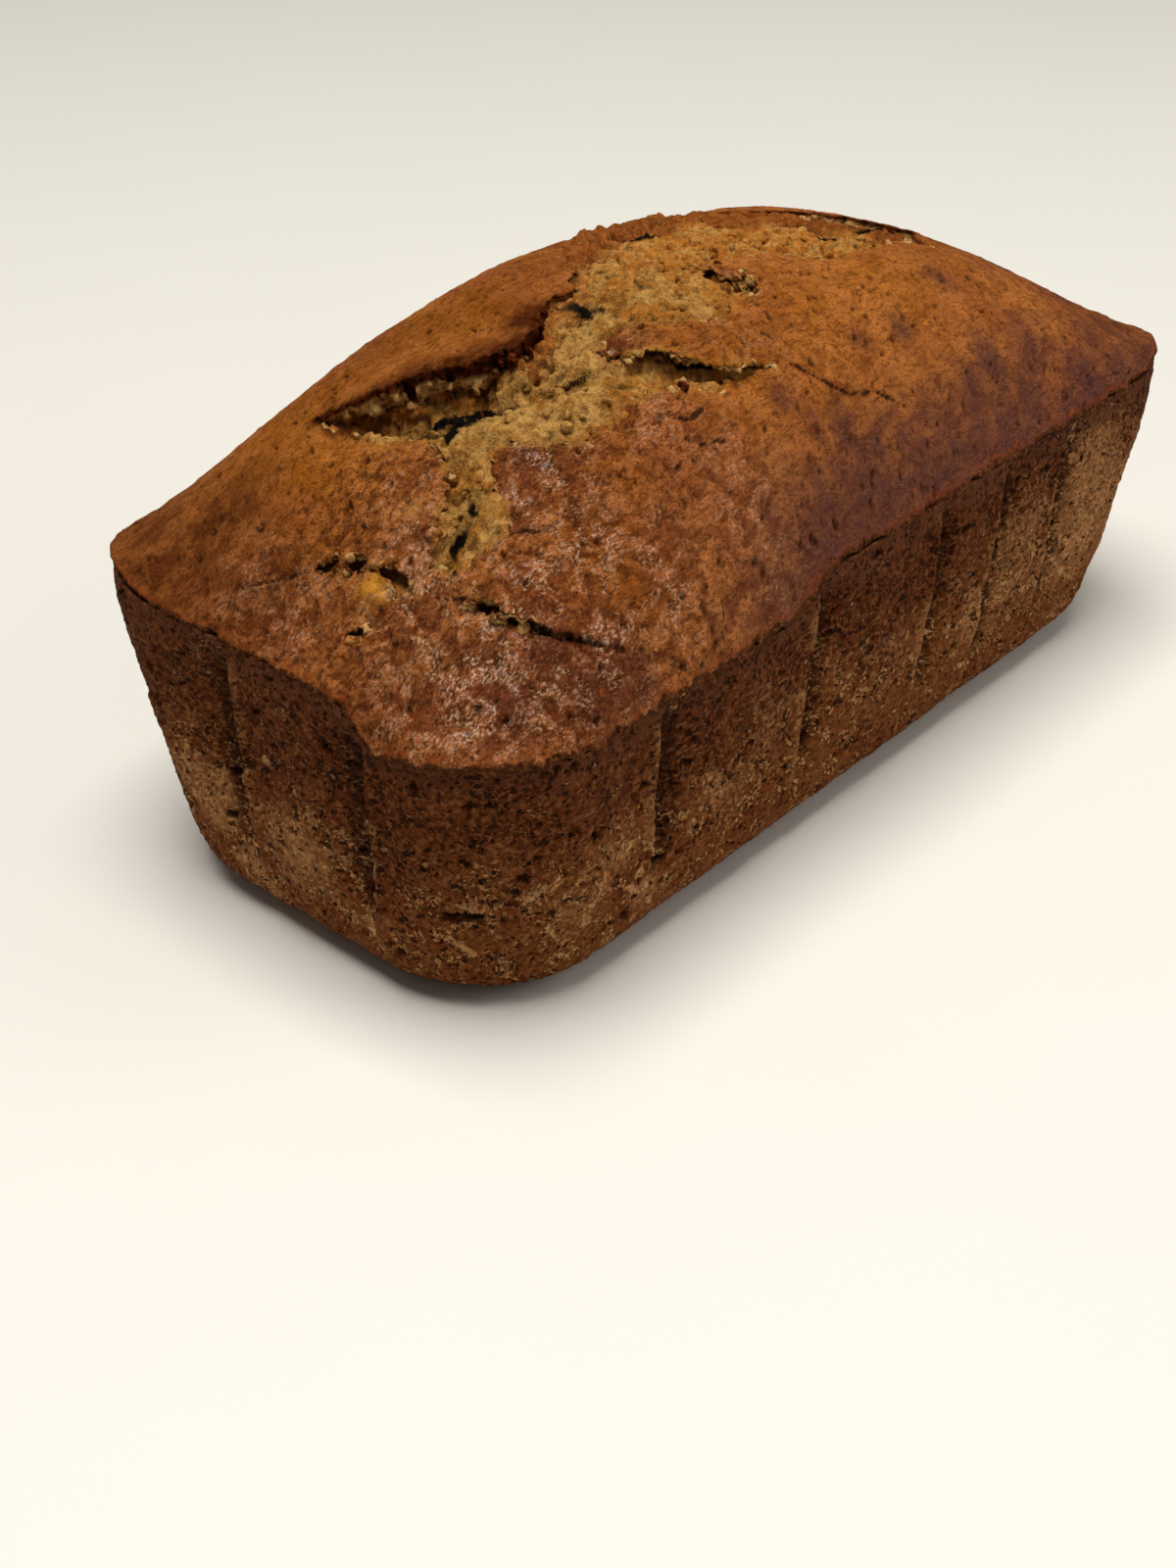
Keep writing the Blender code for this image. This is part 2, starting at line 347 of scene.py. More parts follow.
@dataclass(frozen=True)
class Tear:
    """Where the crust is split open, and how deep the crumb lies there. All mm."""

    opening: Outline = (
        (-81, 22), (-82, 17), (-82, 11), (-81, 4), (-79, 0), (-77, -3), (-77, -7), (-80, -11), (-83, -15),
        (-87.5, -17), (-91, -19), (-94, -21), (-94, -24), (-92, -26), (-89.5, -25.5), (-86, -28),
        (-83, -28), (-80, -25), (-80, -22), (-77, -19), (-75, -16.5), (-71, -18), (-67, -24), (-63, -27),
        (-59, -27), (-56, -29), (-51, -28.5), (-46, -29), (-40, -31), (-36, -33), (-33, -34.6),
        (-27, -34.9), (-18, -35.3), (-18, -35.1), (-28, -33.4), (-32, -31), (-35, -28), (-39, -24),
        (-46, -19), (-46.5, -16), (-43, -15), (-37, -16), (-34, -17), (-30, -20.5), (-23, -23),
        (-17, -24.5), (-13.8, -21.5), (-8.8, -21.5), (-5.7, -21.3), (-2.5, -19.5), (-2.3, -17.5),
        (-6.8, -17.7), (-7.6, -15.5), (-7.2, -12.2), (-8.6, -10), (-8, -7), (-4, -8.6), (3.3, -8.3),
        (12.7, -9.2), (16.4, -10.5), (17.9, -14.7), (21.9, -16.7), (27, -17.4), (32.5, -17), (40, -16.6),
        (47, -15), (54, -14.5), (64, -16), (64, -11), (61, -6), (56, -1), (50, 4), (45, 9), (39, 16),
        (32, 23), (24, 28), (14, 30), (3, 28), (-9, 23), (-18, 16), (-25, 9), (-31, 3), (-34, 0), (-39, 2),
        (-43, 0), (-46, 0), (-47, -3), (-51, -6), (-55, -5), (-59, -2), (-63, 2), (-66, 6), (-70, 10),
        (-74, 13), (-77, 16), (-79, 20),
    )
    cracks: tuple[Stations, ...] = (
        ((-102.8, -0.4, 0.3, 7), (-101.8, -1.9, 0.9, 7), (-101, -3.5, 0.3, 7)),
        ((-100.1, -5.8, 0.2, 7), (-99.6, -7.6, 0.8, 7), (-99.1, -9.6, 0.2, 7)),
        ((-98.9, -13.2, 0.4, 4), (-98.7, -15.4, 1.4, 4), (-99.6, -17.6, 1.5, 3), (-98.9, -20.2, 0.4, 3)),
        ((-95, -31.6, 0.2, 6), (-94.4, -33.4, 0.9, 8), (-94, -36, 0.35, 8), (-93.3, -38.4, 0.6, 8),
         (-91.6, -41.2, 0.3, 6), (-89.4, -44, 0.15, 4)),
        ((-108.5, -14.4, 0.2, 5), (-107.9, -15.7, 0.6, 5), (-107.4, -16.9, 0.2, 5)),
    )
    curls: tuple[Curl, ...] = (
        Curl(((-81, 21), (-77, 15.5), (-70, 9.5), (-63, 2), (-55, -5), (-47, -4), (-43, 0)), 2.7, 6.5),
        Curl(((-47, -21), (-40, -26), (-33, -33), (-20, -35.3)), 1.7, 8.0),
        Curl(((-9.5, -4), (-9, -10), (-8.5, -16), (-3, -18.5), (-1, -20)), 1.5, 5.5),
        Curl(((-98, -26), (-94.6, -33), (-93.8, -38), (-88, -45.2), (-80, -50)), 1.3, 6.0),
        Curl(((-104, 1), (-101, -4), (-99, -12), (-98, -20)), 0.9, 4.5),
    )
    crest: Outline = (
        (-36, 2), (-30, 5), (-20, 8), (-3, 11), (6, 12), (19, 11), (30, 6), (36, 1), (45, -3), (55, -7),
        (64, -12),
    )
    middle: Outline = (
        (-86, 14), (-80, 10), (-70, -2), (-60, -11), (-50, -14), (-40, -8), (-20, -5), (0, 0), (20, 1),
        (45, -10), (62, -15),
    )
    hollows: tuple[Stations, ...] = (
        ((-79, 20, 2, 1.2), (-76, 12, 3, 2.6), (-73, 5, 3.4, 3.6), (-70, -1, 3.6, 5.5),
         (-66, -6.5, 3.2, 6), (-61, -12, 2.6, 4.6), (-55, -17, 2.2, 4.2), (-49, -20.5, 2, 3.2),
         (-43, -24, 2, 3), (-38, -28, 1.8, 3), (-30, -33.3, 1.4, 2.6), (-22, -35, 0.8, 1.5)),
        ((-79, 12, 5, 1.6), (-73, 1, 6, 1.8), (-64, -8, 5, 1.6), (-54, -14, 4, 1.2)),
        ((-79, -13, 2.2, 1.8), (-83, -17.5, 2.2, 3), (-86.5, -21.5, 1.7, 5.6), (-90.8, -22.4, 1.7, 5.6),
         (-93, -24.4, 1, 4)),
        ((-10, -9, 1.6, 2.2), (-9.5, -15, 1.6, 2), (-4.5, -19.4, 1.3, 2.4), (-2.5, -18.6, 0.8, 2.4)),
        ((-6, 12, 1.6, 2), (4.5, 16, 1.6, 2.6), (14, 19, 1.8, 3.2)),
        ((50, -11, 2.6, 3), (57, -11.5, 2.4, 3.6), (61.5, -15, 1.4, 2.6)),
        ((39, 0.5, 2.4, 4), (41.5, -1.5, 2.4, 3.4)),
        ((33, -9.5, 1.8, 2.2), (37, -8.5, 1.8, 2.2)),
    )
    pits: Stations = (
        (-37.4, -4.5, 2.4, 2.8), (-40.4, -9.6, 2, 2.6), (-27, -11.5, 2.2, 1.4), (-11, 1, 2.2, 1.4),
        (21.5, -11.5, 1.8, 2.6), (-61, -3, 2.4, 2.6), (-66, 1.5, 2.2, 2.4), (-54, -10, 1.8, 2),
        (-20, -14, 2, 1.2), (-1, 5, 2.2, 1.4), (9, 4, 2.4, 1.2), (-32, -9, 1.6, 1.6),
    )
    mounds: Stations = (
        (-25, -7, 11, 1.2), (5, 3, 13, 1), (-52, -25, 7, 0.5), (-68, -4, 4, 2.2), (-57, -9, 4, 2),
        (-46, -9, 5, 1), (26, -6, 7, 0.8), (-8, 17, 11, 1.4), (14, 21, 9, 1.4),
    )
    gloom: tuple[Stations, ...] = (
        ((-81.2, 18, 0.8, 0.5), (-80.5, 12, 0.9, 0.6), (-79.8, 5, 1, 0.4), (-78.6, 0, 1.3, 0.5),
         (-76.5, -3.5, 1.9, 1.2), (-73.5, -7, 2.1, 1.2), (-70.5, -10, 1.6, 1), (-67, -13, 1.2, 0.9),
         (-63.5, -16.5, 1, 0.5), (-58, -19.3, 1.2, 0.9), (-54.5, -20.6, 1, 0.8), (-49, -22, 0.8, 0.4),
         (-43, -24.5, 0.9, 0.5), (-38.2, -28.7, 0.9, 0.9), (-32.4, -32.2, 0.9, 1), (-25, -34.2, 0.8, 1),
         (-20, -35, 0.7, 1)),
        ((-81, -16, 0.8, 0.6), (-83, -19, 0.6, 0.1), (-86.4, -22.9, 1.3, 1), (-88.2, -24, 0.8, 0.4),
         (-91.2, -24.6, 1.3, 1.1), (-94, -25, 1, 0.9)),
        ((-12.4, -18.4, 0.6, 0.4), (-6.7, -20.2, 0.7, 0.8), (-3.2, -19.6, 0.8, 1)),
        ((36, 0, 1.4, 1), (39, -1, 1.4, 1)),
        ((33, -9, 1.4, 0.9), (38, -8.5, 1.6, 1), (42, -9, 1, 0.8)),
        ((54, -4.5, 1.4, 0.9), (59, -6, 1.6, 1)),
        ((58, -11.5, 1.6, 1), (62, -13.5, 1.4, 1)),
        ((-4.5, 10.2, 1, 0.9), (0, 10.8, 1.2, 1), (6.5, 12.5, 1, 0.8)),
        ((-40, -1.5, 2, 0.6), (-37.5, -6, 2.6, 0.8), (-36.5, -11, 1.8, 0.5)),
        ((20, 11.5, 1.4, 0.8), (23, 10.5, 1.2, 0.7)),
        ((-26, -10, 1.6, 0.7), (-24.5, -11, 1.4, 0.6)),
    )
    slant: tuple[float, float] = (1.10, 0.96)
    ragged: tuple[tuple[float, float], ...] = ((4.2, 1.3), (1.6, 0.9))

    def edge(self, x: Array, y: Array) -> Array:
        """Distance from the torn edge in mm, below 0 where the crust is open.

        Args:
            x, y: places in mm.

        Returns:
            Distances in mm.
        """
        distance = outline_distance(x, y, self.opening)
        points = np.stack([x, y, np.zeros_like(x)], axis=-1)
        calm = 1 - 0.7 * ease(-40, -33, x) * ease(-24, -29, y)
        for seed, (size, depth) in enumerate(self.ragged):
            distance = distance + calm * depth * Noise(40 + seed).single(points, size)
        fine = 0.3 * Noise(45).single(points, 1.3)
        return np.minimum(distance, self.from_crack(x, y)[0] + fine)

    def from_crack(self, x: Array, y: Array) -> tuple[Array, Array]:
        """Distance from the small cracks across the front end, and how deep they go.

        Args:
            x, y: places in mm.

        Returns:
            Distance and depth, in mm.
        """
        nearest = np.full(x.shape, np.inf)
        depth = np.zeros(x.shape)
        for crack in self.cracks:
            _, past, amount = chain(x, y, crack)
            depth = np.where(past < nearest, amount, depth)
            nearest = np.minimum(nearest, past)
        return nearest, depth

    def far_side(self, x: Array, y: Array) -> Array:
        """1 on the side of the tear that the crust hangs over, 0 on the near side."""
        xs, ys = zip(*self.middle)
        return ease(-1.5, 1.5, y - np.interp(x, xs, ys)) * ease(-84, -81, x)

    def crust_shift(self, x: Array, y: Array) -> tuple[Array, Array, Array]:
        """How far the curled edges move a point of crust, in mm.

        Args:
            x, y: places in mm.

        Returns:
            The move along x, y and z, in mm.
        """
        total = [np.zeros_like(x), np.zeros_like(x), np.zeros_like(x)]
        for curl in self.curls:
            for axis, part in enumerate(curl.shift(x, y)):
                total[axis] = total[axis] + part
        return total[0], total[1], total[2]

    def darkness(self, x: Array, y: Array, depth: Array) -> Array:
        """1 in the gaps that run slanting under the far side, where hardly any light gets in.

        Args:
            x, y: places in mm.
            depth: depth of the crumb there in mm.

        Returns:
            Darkness of 0 to 1.
        """
        x, y = x - self.slant[0] * depth, y - self.slant[1] * depth
        total = np.zeros(x.shape)
        for gap in self.gloom:
            nearest, _, amount = chain(x, y, gap)
            total = np.maximum(total, amount * bell(nearest, 1.0))
        return total

    def past_crest(self, x: Array, y: Array) -> Array:
        """1 on the browned lumps behind the open crumb, where the loaf is highest."""
        xs, ys = zip(*self.crest)
        return ease(-1.5, 2.0, y - np.interp(x, xs, ys)) * ease(-36, -28, x)

    def crumb_depth(self, x: Array, y: Array, edge: Array) -> Array:
        """Depth of the torn crumb under the dome, in mm.

        Args:
            x, y: places in mm.
            edge: distance from the torn edge in mm.

        Returns:
            Depths in mm.
        """
        inner = -edge
        far = self.far_side(x, y)
        near_depth = 1.0 - 0.7 * ease(0.0, 2.5, inner) + 0.4 * np.maximum(edge, 0)
        far_depth = 2.4 - 0.6 * ease(2.0, 8.0, inner) + 0.15 * np.maximum(edge, 0)
        depth = mix(near_depth, far_depth, far)
        depth = mix(depth, 0.5, self.past_crest(x, y))
        nearest, floor = self.from_crack(x, y)
        depth = mix(depth, floor, 1 - ease(1.5, 3.5, nearest))
        for hollow in self.hollows:
            nearest, _, amount = chain(x, y, hollow)
            depth = depth + amount * bell(nearest, 1.0)
        for pit_x, pit_y, radius, amount in self.pits:
            depth = depth + amount * bell(np.hypot(x - pit_x, y - pit_y), radius)
        for mound_x, mound_y, radius, amount in self.mounds:
            depth = depth - amount * bell(np.hypot(x - mound_x, y - mound_y), radius)
        return depth


# ---- meshes from grids
def graded_lines(start: float, stop: float, fine: float, coarse: float, knee: float) -> Array:
    """Grid lines from start to stop: fine up to knee, then ever wider up to coarse.

    Args:
        start, stop: both ends.
        fine, coarse: least and greatest spacing.
        knee: where the spacing starts to grow.

    Returns:
        The lines' places.
    """
    lines = [start]
    while lines[-1] < stop:
        share = max(0.0, (lines[-1] - knee) / max(stop - knee, 1e-9))
        lines.append(lines[-1] + fine + (coarse - fine) * share)
    scaled = np.array(lines)
    return start + (scaled - start) * (stop - start) / (scaled[-1] - start)


def open_corners(keep: Array) -> Array:
    """Takes out cells that would touch the rest by one corner only."""
    keep = keep.copy()
    while True:
        low, right = keep[:-1, :-1], keep[1:, :-1]
        back, far = keep[:-1, 1:], keep[1:, 1:]
        rising = low & far & ~right & ~back
        falling = right & back & ~low & ~far
        if not (rising.any() or falling.any()):
            return keep
        keep[:-1, :-1] &= ~rising
        keep[1:, :-1] &= ~falling


@dataclass
class Slab:
    """A closed piece made from a grid: a skin, an underside and the torn rows between."""

    skin: Array
    under: Array
    keep: Array
    plain: Array
    rows: int = 4
    block: int = 4

    def build(self) -> tuple[Array, list[tuple[int, ...]], Array, Array]:
        """Joins the skin, rows and underside.

        Returns:
            Points, faces, the grid place that each point came from, and how far each
            point lies from the skin (0) to the underside (1).
        """
        across, deep = self.skin.shape[:2]
        skin_number = np.arange(across * deep).reshape(across, deep)
        under_number = skin_number + across * deep
        keep = self.keep
        i, j = np.nonzero(keep)
        quads = np.stack([skin_number[i, j], skin_number[i + 1, j], skin_number[i + 1, j + 1],
                          skin_number[i, j + 1]], axis=1)
        faces = [tuple(quad) for quad in quads.tolist()]
        faces += self.underside(under_number)
        points = [self.skin.reshape(-1, 3), self.under.reshape(-1, 3)]
        source = [np.arange(across * deep), np.arange(across * deep)]
        share = [np.zeros(across * deep), np.ones(across * deep)]
        edges = self.border(skin_number)
        on_edge = np.unique(edges)
        total = 2 * across * deep
        levels = [{number: number for number in on_edge.tolist()}]
        for row in range(1, self.rows):
            part = row / self.rows
            points.append(mix(points[0][on_edge], points[1][on_edge], part))
            source.append(on_edge)
            share.append(np.full(len(on_edge), part))
            levels.append({number: total + place for place, number in enumerate(on_edge.tolist())})
            total += len(on_edge)
        levels.append({number: number + across * deep for number in on_edge.tolist()})
        for upper, lower in zip(levels, levels[1:]):
            faces += [(upper[end], upper[start], lower[start], lower[end]) for start, end in edges.tolist()]
        return self.compact(np.concatenate(points), faces, np.concatenate(source), np.concatenate(share))

    def border(self, number: Array) -> Array:
        """Directed edges round the kept cells, the kept side on the left.

        Args:
            number: the grid points' numbers.

        Returns:
            Pairs of point numbers.
        """
        padded = np.pad(self.keep, 1)
        inside = padded[1:-1, 1:-1]
        sides = ((padded[1:-1, :-2], (0, 0), (1, 0)), (padded[2:, 1:-1], (1, 0), (1, 1)),
                 (padded[1:-1, 2:], (1, 1), (0, 1)), (padded[:-2, 1:-1], (0, 1), (0, 0)))
        edges = []
        for neighbour, start, end in sides:
            i, j = np.nonzero(inside & ~neighbour)
            edges.append(np.stack([number[i + start[0], j + start[1]],
                                   number[i + end[0], j + end[1]]], axis=1))
        return np.concatenate(edges)

    def underside(self, number: Array) -> list[tuple[int, ...]]:
        """Faces of the underside, with one face for each block of plain cells.

        Args:
            number: the underside points' numbers.

        Returns:
            Faces, as tuples of point numbers.
        """
        size = self.block
        across, deep = (extent // size for extent in self.keep.shape)
        trimmed = (self.keep & self.plain)[:across * size, :deep * size]
        whole = trimmed.reshape(across, size, deep, size).all(axis=(1, 3))
        covered = np.zeros_like(self.keep)
        covered[:across * size, :deep * size] = np.repeat(np.repeat(whole, size, 0), size, 1)
        faces = []
        padded = np.pad(whole, 1)
        for i, j in zip(*np.nonzero(whole)):
            x, y = i * size, j * size
            loop = []
            runs = ((padded[i + 1, j], x, y, 1, 0), (padded[i + 2, j + 1], x + size, y, 0, 1),
                    (padded[i + 1, j + 2], x + size, y + size, -1, 0), (padded[i, j + 1], x, y + size, 0, -1))
            for neighbour, start_x, start_y, step_x, step_y in runs:
                steps = 1 if neighbour else size
                loop += [int(number[start_x + step_x * step, start_y + step_y * step])
                         for step in range(steps)]
            faces.append(tuple(reversed(loop)))
        i, j = np.nonzero(self.keep & ~covered)
        quads = np.stack([number[i, j + 1], number[i + 1, j + 1], number[i + 1, j], number[i, j]], axis=1)
        return faces + [tuple(quad) for quad in quads.tolist()]

    @staticmethod
    def compact(points: Array, faces: list[tuple[int, ...]], source: Array,
                share: Array) -> tuple[Array, list[tuple[int, ...]], Array, Array]:
        """Drops the points that no face uses.

        Args:
            points, faces, source, share: as build makes them.

        Returns:
            The same four, without the loose points.
        """
        used = np.zeros(len(points), bool)
        used[[number for face in faces for number in face]] = True
        renumber = (np.cumsum(used) - 1).tolist()
        faces = [tuple(renumber[number] for number in face) for face in faces]
        return points[used], faces, source[used], share[used]


def place_new(name: str, data: bpy.types.ID) -> Piece:
    """Makes an object of the data and links it to the scene."""
    item = bpy.data.objects.new(name, data)
    bpy.context.scene.collection.objects.link(item)
    return item


def mesh_piece(name: str, points: Array, faces: Iterable[Sequence[int]],
               marks: dict[str, Array]) -> Piece:
    """Makes a smooth-shaded object, with its marks stored as point attributes.

    Args:
        name: name of the object and its mesh.
        points: places in metres.
        faces: point numbers of each face.
        marks: a value for each point, by attribute.

    Returns:
        The new object, linked to the scene.
    """
    mesh = bpy.data.meshes.new(name)
    mesh.from_pydata(points.tolist(), [], list(faces))
    mesh.update()
    for mark, values in marks.items():
        layer = mesh.attributes.new(mark, "FLOAT", "POINT")
        layer.data.foreach_set("value", values.astype(np.float32))
    mesh.shade_smooth()
    return place_new(name, mesh)


# ---- node maths
class Signal:
    """An output of a node, with Python's arithmetic."""

    def __init__(self, pad: "NodePad", socket: bpy.types.NodeSocket) -> None:
        """Wraps one socket."""
        self.pad = pad
        self.socket = socket

    def __add__(self, other: "Signal | float") -> "Signal":
        """Sum."""
        return self.pad.math("ADD", self, other)

    def __sub__(self, other: "Signal | float") -> "Signal":
        """Difference."""
        return self.pad.math("SUBTRACT", self, other)

    def __rsub__(self, other: float) -> "Signal":
        """Difference from a number."""
        return self.pad.math("SUBTRACT", other, self)

    def __mul__(self, other: "Signal | float") -> "Signal":
        """Product."""
        return self.pad.math("MULTIPLY", self, other)

    __radd__ = __add__
    __rmul__ = __mul__


class NodePad:
    """Adds nodes to a shader or geometry tree."""

    def __init__(self, tree: bpy.types.NodeTree) -> None:
        """Takes the tree to write on."""
        self.tree = tree

    def node(self, kind: str, settings: dict | None = None, values: dict | None = None) -> bpy.types.Node:
        """Adds one node.

        Args:
            kind: the node's type.
            settings: its properties, set before any value.
            values: numbers, colours or signals for its sockets, by name or place.

        Returns:
            The node.
        """
        node = self.tree.nodes.new(kind)
        for name, setting in (settings or {}).items():
            setattr(node, name, setting)
        for name, value in (values or {}).items():
            socket = node.inputs[name]
            if isinstance(value, Signal):
                self.tree.links.new(value.socket, socket)
            else:
                socket.default_value = value
        return node

    def signal(self, node: bpy.types.Node, name: str | int = 0) -> Signal:
        """One output of a node."""
        return Signal(self, node.outputs[name])

    def out(self, kind: str, settings: dict | None = None, values: dict | None = None,
            name: str | int = 0) -> Signal:
        """Adds a node and takes one output of it."""
        return self.signal(self.node(kind, settings, values), name)

    def math(self, operation: str, first: Signal | float, second: Signal | float = 0.0) -> Signal:
        """A Math node."""
        return self.out("ShaderNodeMath", {"operation": operation}, {0: first, 1: second})

    def step(self, low: float, high: float, value: Signal) -> Signal:
        """0 below low, 1 above high, and an S-curve between; low may be the greater."""
        values = {0: value, 1: low, 2: high}
        return self.out("ShaderNodeMapRange", {"interpolation_type": "SMOOTHSTEP"}, values)

    def blend(self, share: Signal | float, first: Signal | Colour, second: Signal | Colour,
              way: str = "MIX") -> Signal:
        """A colour between two colours.

        Args:
            share: 0 for the first colour, 1 for the second.
            first, second: the colours.
            way: the Mix node's way of blending.

        Returns:
            The colour.
        """
        pair = [(*colour, 1.0) if isinstance(colour, tuple) else colour for colour in (first, second)]
        settings = {"data_type": "RGBA", "blend_type": way}
        return self.out("ShaderNodeMix", settings, {0: share, 6: pair[0], 7: pair[1]}, 2)

    def coats(self, base: Signal | Colour, *layers: tuple[Signal | float, Signal | Colour]) -> Signal:
        """Lays colours over one another.

        Args:
            base: the lowest colour.
            layers: a share of 0 to 1 and a colour for each coat, from the lowest up.

        Returns:
            The colour that shows.
        """
        for share, coat in layers:
            base = self.blend(share, base, coat)
        return base

    def noise(self, place: Signal, size: float, detail: float = 2.0, rough: float = 0.5,
              warp: float = 0.0) -> Signal:
        """Soft noise of about 0 to 1, with features size mm wide."""
        values = {"Vector": place, "Scale": 1 / (size * MM), "Detail": detail, "Roughness": rough,
                  "Distortion": warp}
        return self.out("ShaderNodeTexNoise", None, values)

    def cells(self, place: Signal, size: float) -> Signal:
        """Distance to the nearest of scattered points size mm apart, about 0 to 1."""
        values = {"Vector": place, "Scale": 1 / (size * MM)}
        return self.out("ShaderNodeTexVoronoi", None, values, "Distance")

    def warp(self, place: Signal, size: float, reach: float) -> Signal:
        """A place shaken by noise of size mm, by up to about reach mm.

        Args:
            place: coordinates.
            size, reach: in mm.

        Returns:
            The shaken coordinates.
        """
        values = {"Vector": place, "Scale": 1 / (size * MM), "Detail": 1.0}
        wobble = self.out("ShaderNodeTexNoise", None, values, "Color")
        push = self.vector("SUBTRACT", wobble, (0.5, 0.5, 0.5))
        return self.vector("ADD", place, self.vector("MULTIPLY", push, (reach * 2 * MM,) * 3))

    def vector(self, operation: str, first: Signal | Colour, second: Signal | Colour) -> Signal:
        """A Vector Math node."""
        return self.out("ShaderNodeVectorMath", {"operation": operation}, {0: first, 1: second})

    def stretch(self, place: Signal, scale: Colour) -> Signal:
        """A place scaled along each axis, to stretch a pattern."""
        return self.vector("MULTIPLY", place, scale)


class GeometryTree(NodePad):
    """A Geometry Nodes tree with named inputs, applied once and then thrown away."""

    def __init__(self, name: str) -> None:
        """Starts a tree with its geometry and material sockets.

        Args:
            name: name of the tree.
        """
        super().__init__(bpy.data.node_groups.new(name, "GeometryNodeTree"))
        self.tree.is_modifier = True
        self.sockets: dict[str, str] = {}
        self.declare("Geometry", "NodeSocketGeometry")
        self.declare("Material", "NodeSocketMaterial")
        self.tree.interface.new_socket("Geometry", in_out="OUTPUT", socket_type="NodeSocketGeometry")
        self.entry = self.tree.nodes.new("NodeGroupInput")

    def declare(self, name: str, kind: str) -> None:
        """Adds one named input."""
        socket = self.tree.interface.new_socket(name, in_out="INPUT", socket_type=kind)
        self.sockets[name] = socket.identifier

    def size(self, name: str) -> Signal:
        """A named input that holds a number."""
        self.declare(name, "NodeSocketFloat")
        return self.signal(self.entry, name)

    def whole(self, name: str) -> Signal:
        """A named input that holds a whole number."""
        self.declare(name, "NodeSocketInt")
        return self.signal(self.entry, name)

    def mark(self, name: str) -> Signal:
        """A point attribute of the mesh."""
        settings = {"data_type": "FLOAT"}
        return self.out("GeometryNodeInputNamedAttribute", settings, {"Name": name})

    def close(self, geometry: Signal) -> None:
        """Realizes instances, sets the material and ends the tree.

        Args:
            geometry: what the tree has made.
        """
        real = self.out("GeometryNodeRealizeInstances", None, {0: geometry})
        material = self.signal(self.entry, "Material")
        dressed = self.node("GeometryNodeSetMaterial", None, {"Geometry": real, "Material": material})
        self.node("NodeGroupOutput", None, {0: self.signal(dressed)})

    def apply(self, piece: Piece, material: bpy.types.Material, sizes: dict[str, float]) -> None:
        """Runs the tree on a piece and keeps the result as its plain mesh.

        Args:
            piece: the object to run on.
            material: the finish of the result.
            sizes: values of the tree's named inputs.
        """
        modifier = piece.modifiers.new(self.tree.name, "NODES")
        modifier.node_group = self.tree
        modifier[self.sockets["Material"]] = material
        for name, value in sizes.items():
            modifier[self.sockets[name]] = value
        graph = bpy.context.evaluated_depsgraph_get()
        mesh = bpy.data.meshes.new_from_object(piece.evaluated_get(graph))
        piece.modifiers.remove(modifier)
        old = piece.data
        piece.data = mesh
        bpy.data.meshes.remove(old)
        mesh.name = piece.name
        mesh.shade_smooth()


class Relief(GeometryTree):
    """Pushes a surface in and out along its normals and stores how far."""

    def finish(self, height: Signal, pores: Signal) -> None:
        """Moves the points by height (metres) and stores height in mm and the pores' mask.

        Args:
            height: in metres.
            pores: mask of 0 to 1.
        """
        normal = self.out("GeometryNodeInputNormal")
        offset = self.out("ShaderNodeVectorMath", {"operation": "SCALE"}, {0: normal, "Scale": height})
        start = self.signal(self.entry, "Geometry")
        stored = self.store(start, "relief", height * (1 / MM))
        stored = self.store(stored, "pores", pores)
        moved = self.node("GeometryNodeSetPosition", None, {"Geometry": stored, "Offset": offset})
        self.close(self.signal(moved))

    def store(self, geometry: Signal, name: str, value: Signal) -> Signal:
        """Stores a value as a point attribute."""
        values = {"Geometry": geometry, "Name": name, "Value": value}
        return self.out("GeometryNodeStoreNamedAttribute", {"data_type": "FLOAT"}, values)

    def place(self) -> Signal:
        """The points' places."""
        return self.out("GeometryNodeInputPosition")


# ---- finishes
def srgb(red: int, green: int, blue: int) -> Colour:
    """A display colour of 0 to 255 as the linear colour that shaders take."""
    def channel(value: int) -> float:
        """One channel, made linear."""
        share = value / 255
        return share / 12.92 if share <= 0.04045 else ((share + 0.055) / 1.055) ** 2.4
    return channel(red), channel(green), channel(blue)


@dataclass(frozen=True)
class Finish:
    """A material painted in the piece's own space."""

    name: str

    def material(self) -> bpy.types.Material:
        """Makes the material and paints it.

        Returns:
            The new material.
        """
        material = bpy.data.materials.new(self.name)
        material.use_nodes = True
        pad = ShaderPad(material.node_tree)
        self.paint(pad, pad.signal(pad.node("ShaderNodeTexCoord"), "Object"))
        return material

    def paint(self, pad: "ShaderPad", place: Signal) -> None:
        """Paints the surface; each finish has its own way."""
        raise NotImplementedError


class ShaderPad(NodePad):
    """The tree of a material, with its shader."""

    def __init__(self, tree: bpy.types.NodeTree) -> None:
        """Finds the shader."""
        super().__init__(tree)
        self.shader = tree.nodes["Principled BSDF"]

    def feed(self, **signals: Signal) -> None:
        """Links signals to the shader; Base_Color stands for Base Color."""
        for name, signal in signals.items():
            self.tree.links.new(signal.socket, self.shader.inputs[name.replace("_", " ")])

    def fix(self, values: dict[str, float]) -> None:
        """Sets what is the same all over the surface."""
        for name, value in values.items():
            self.shader.inputs[name].default_value = value

    def mark(self, name: str) -> Signal:
        """A point attribute of the mesh."""
        return self.out("ShaderNodeAttribute", {"attribute_name": name}, None, "Fac")

    def bump(self, height: Signal, depth: float, under: Signal | None = None) -> Signal:
        """A normal from a height of 0 to 1 that stands for depth mm.

        Args:
            height: 0 to 1.
            depth: in mm.
            under: the normal to build on.

        Returns:
            The normal.
        """
        values = {"Height": height, "Distance": depth * MM}
        if under is not None:
            values["Normal"] = under
        return self.out("ShaderNodeBump", None, values)


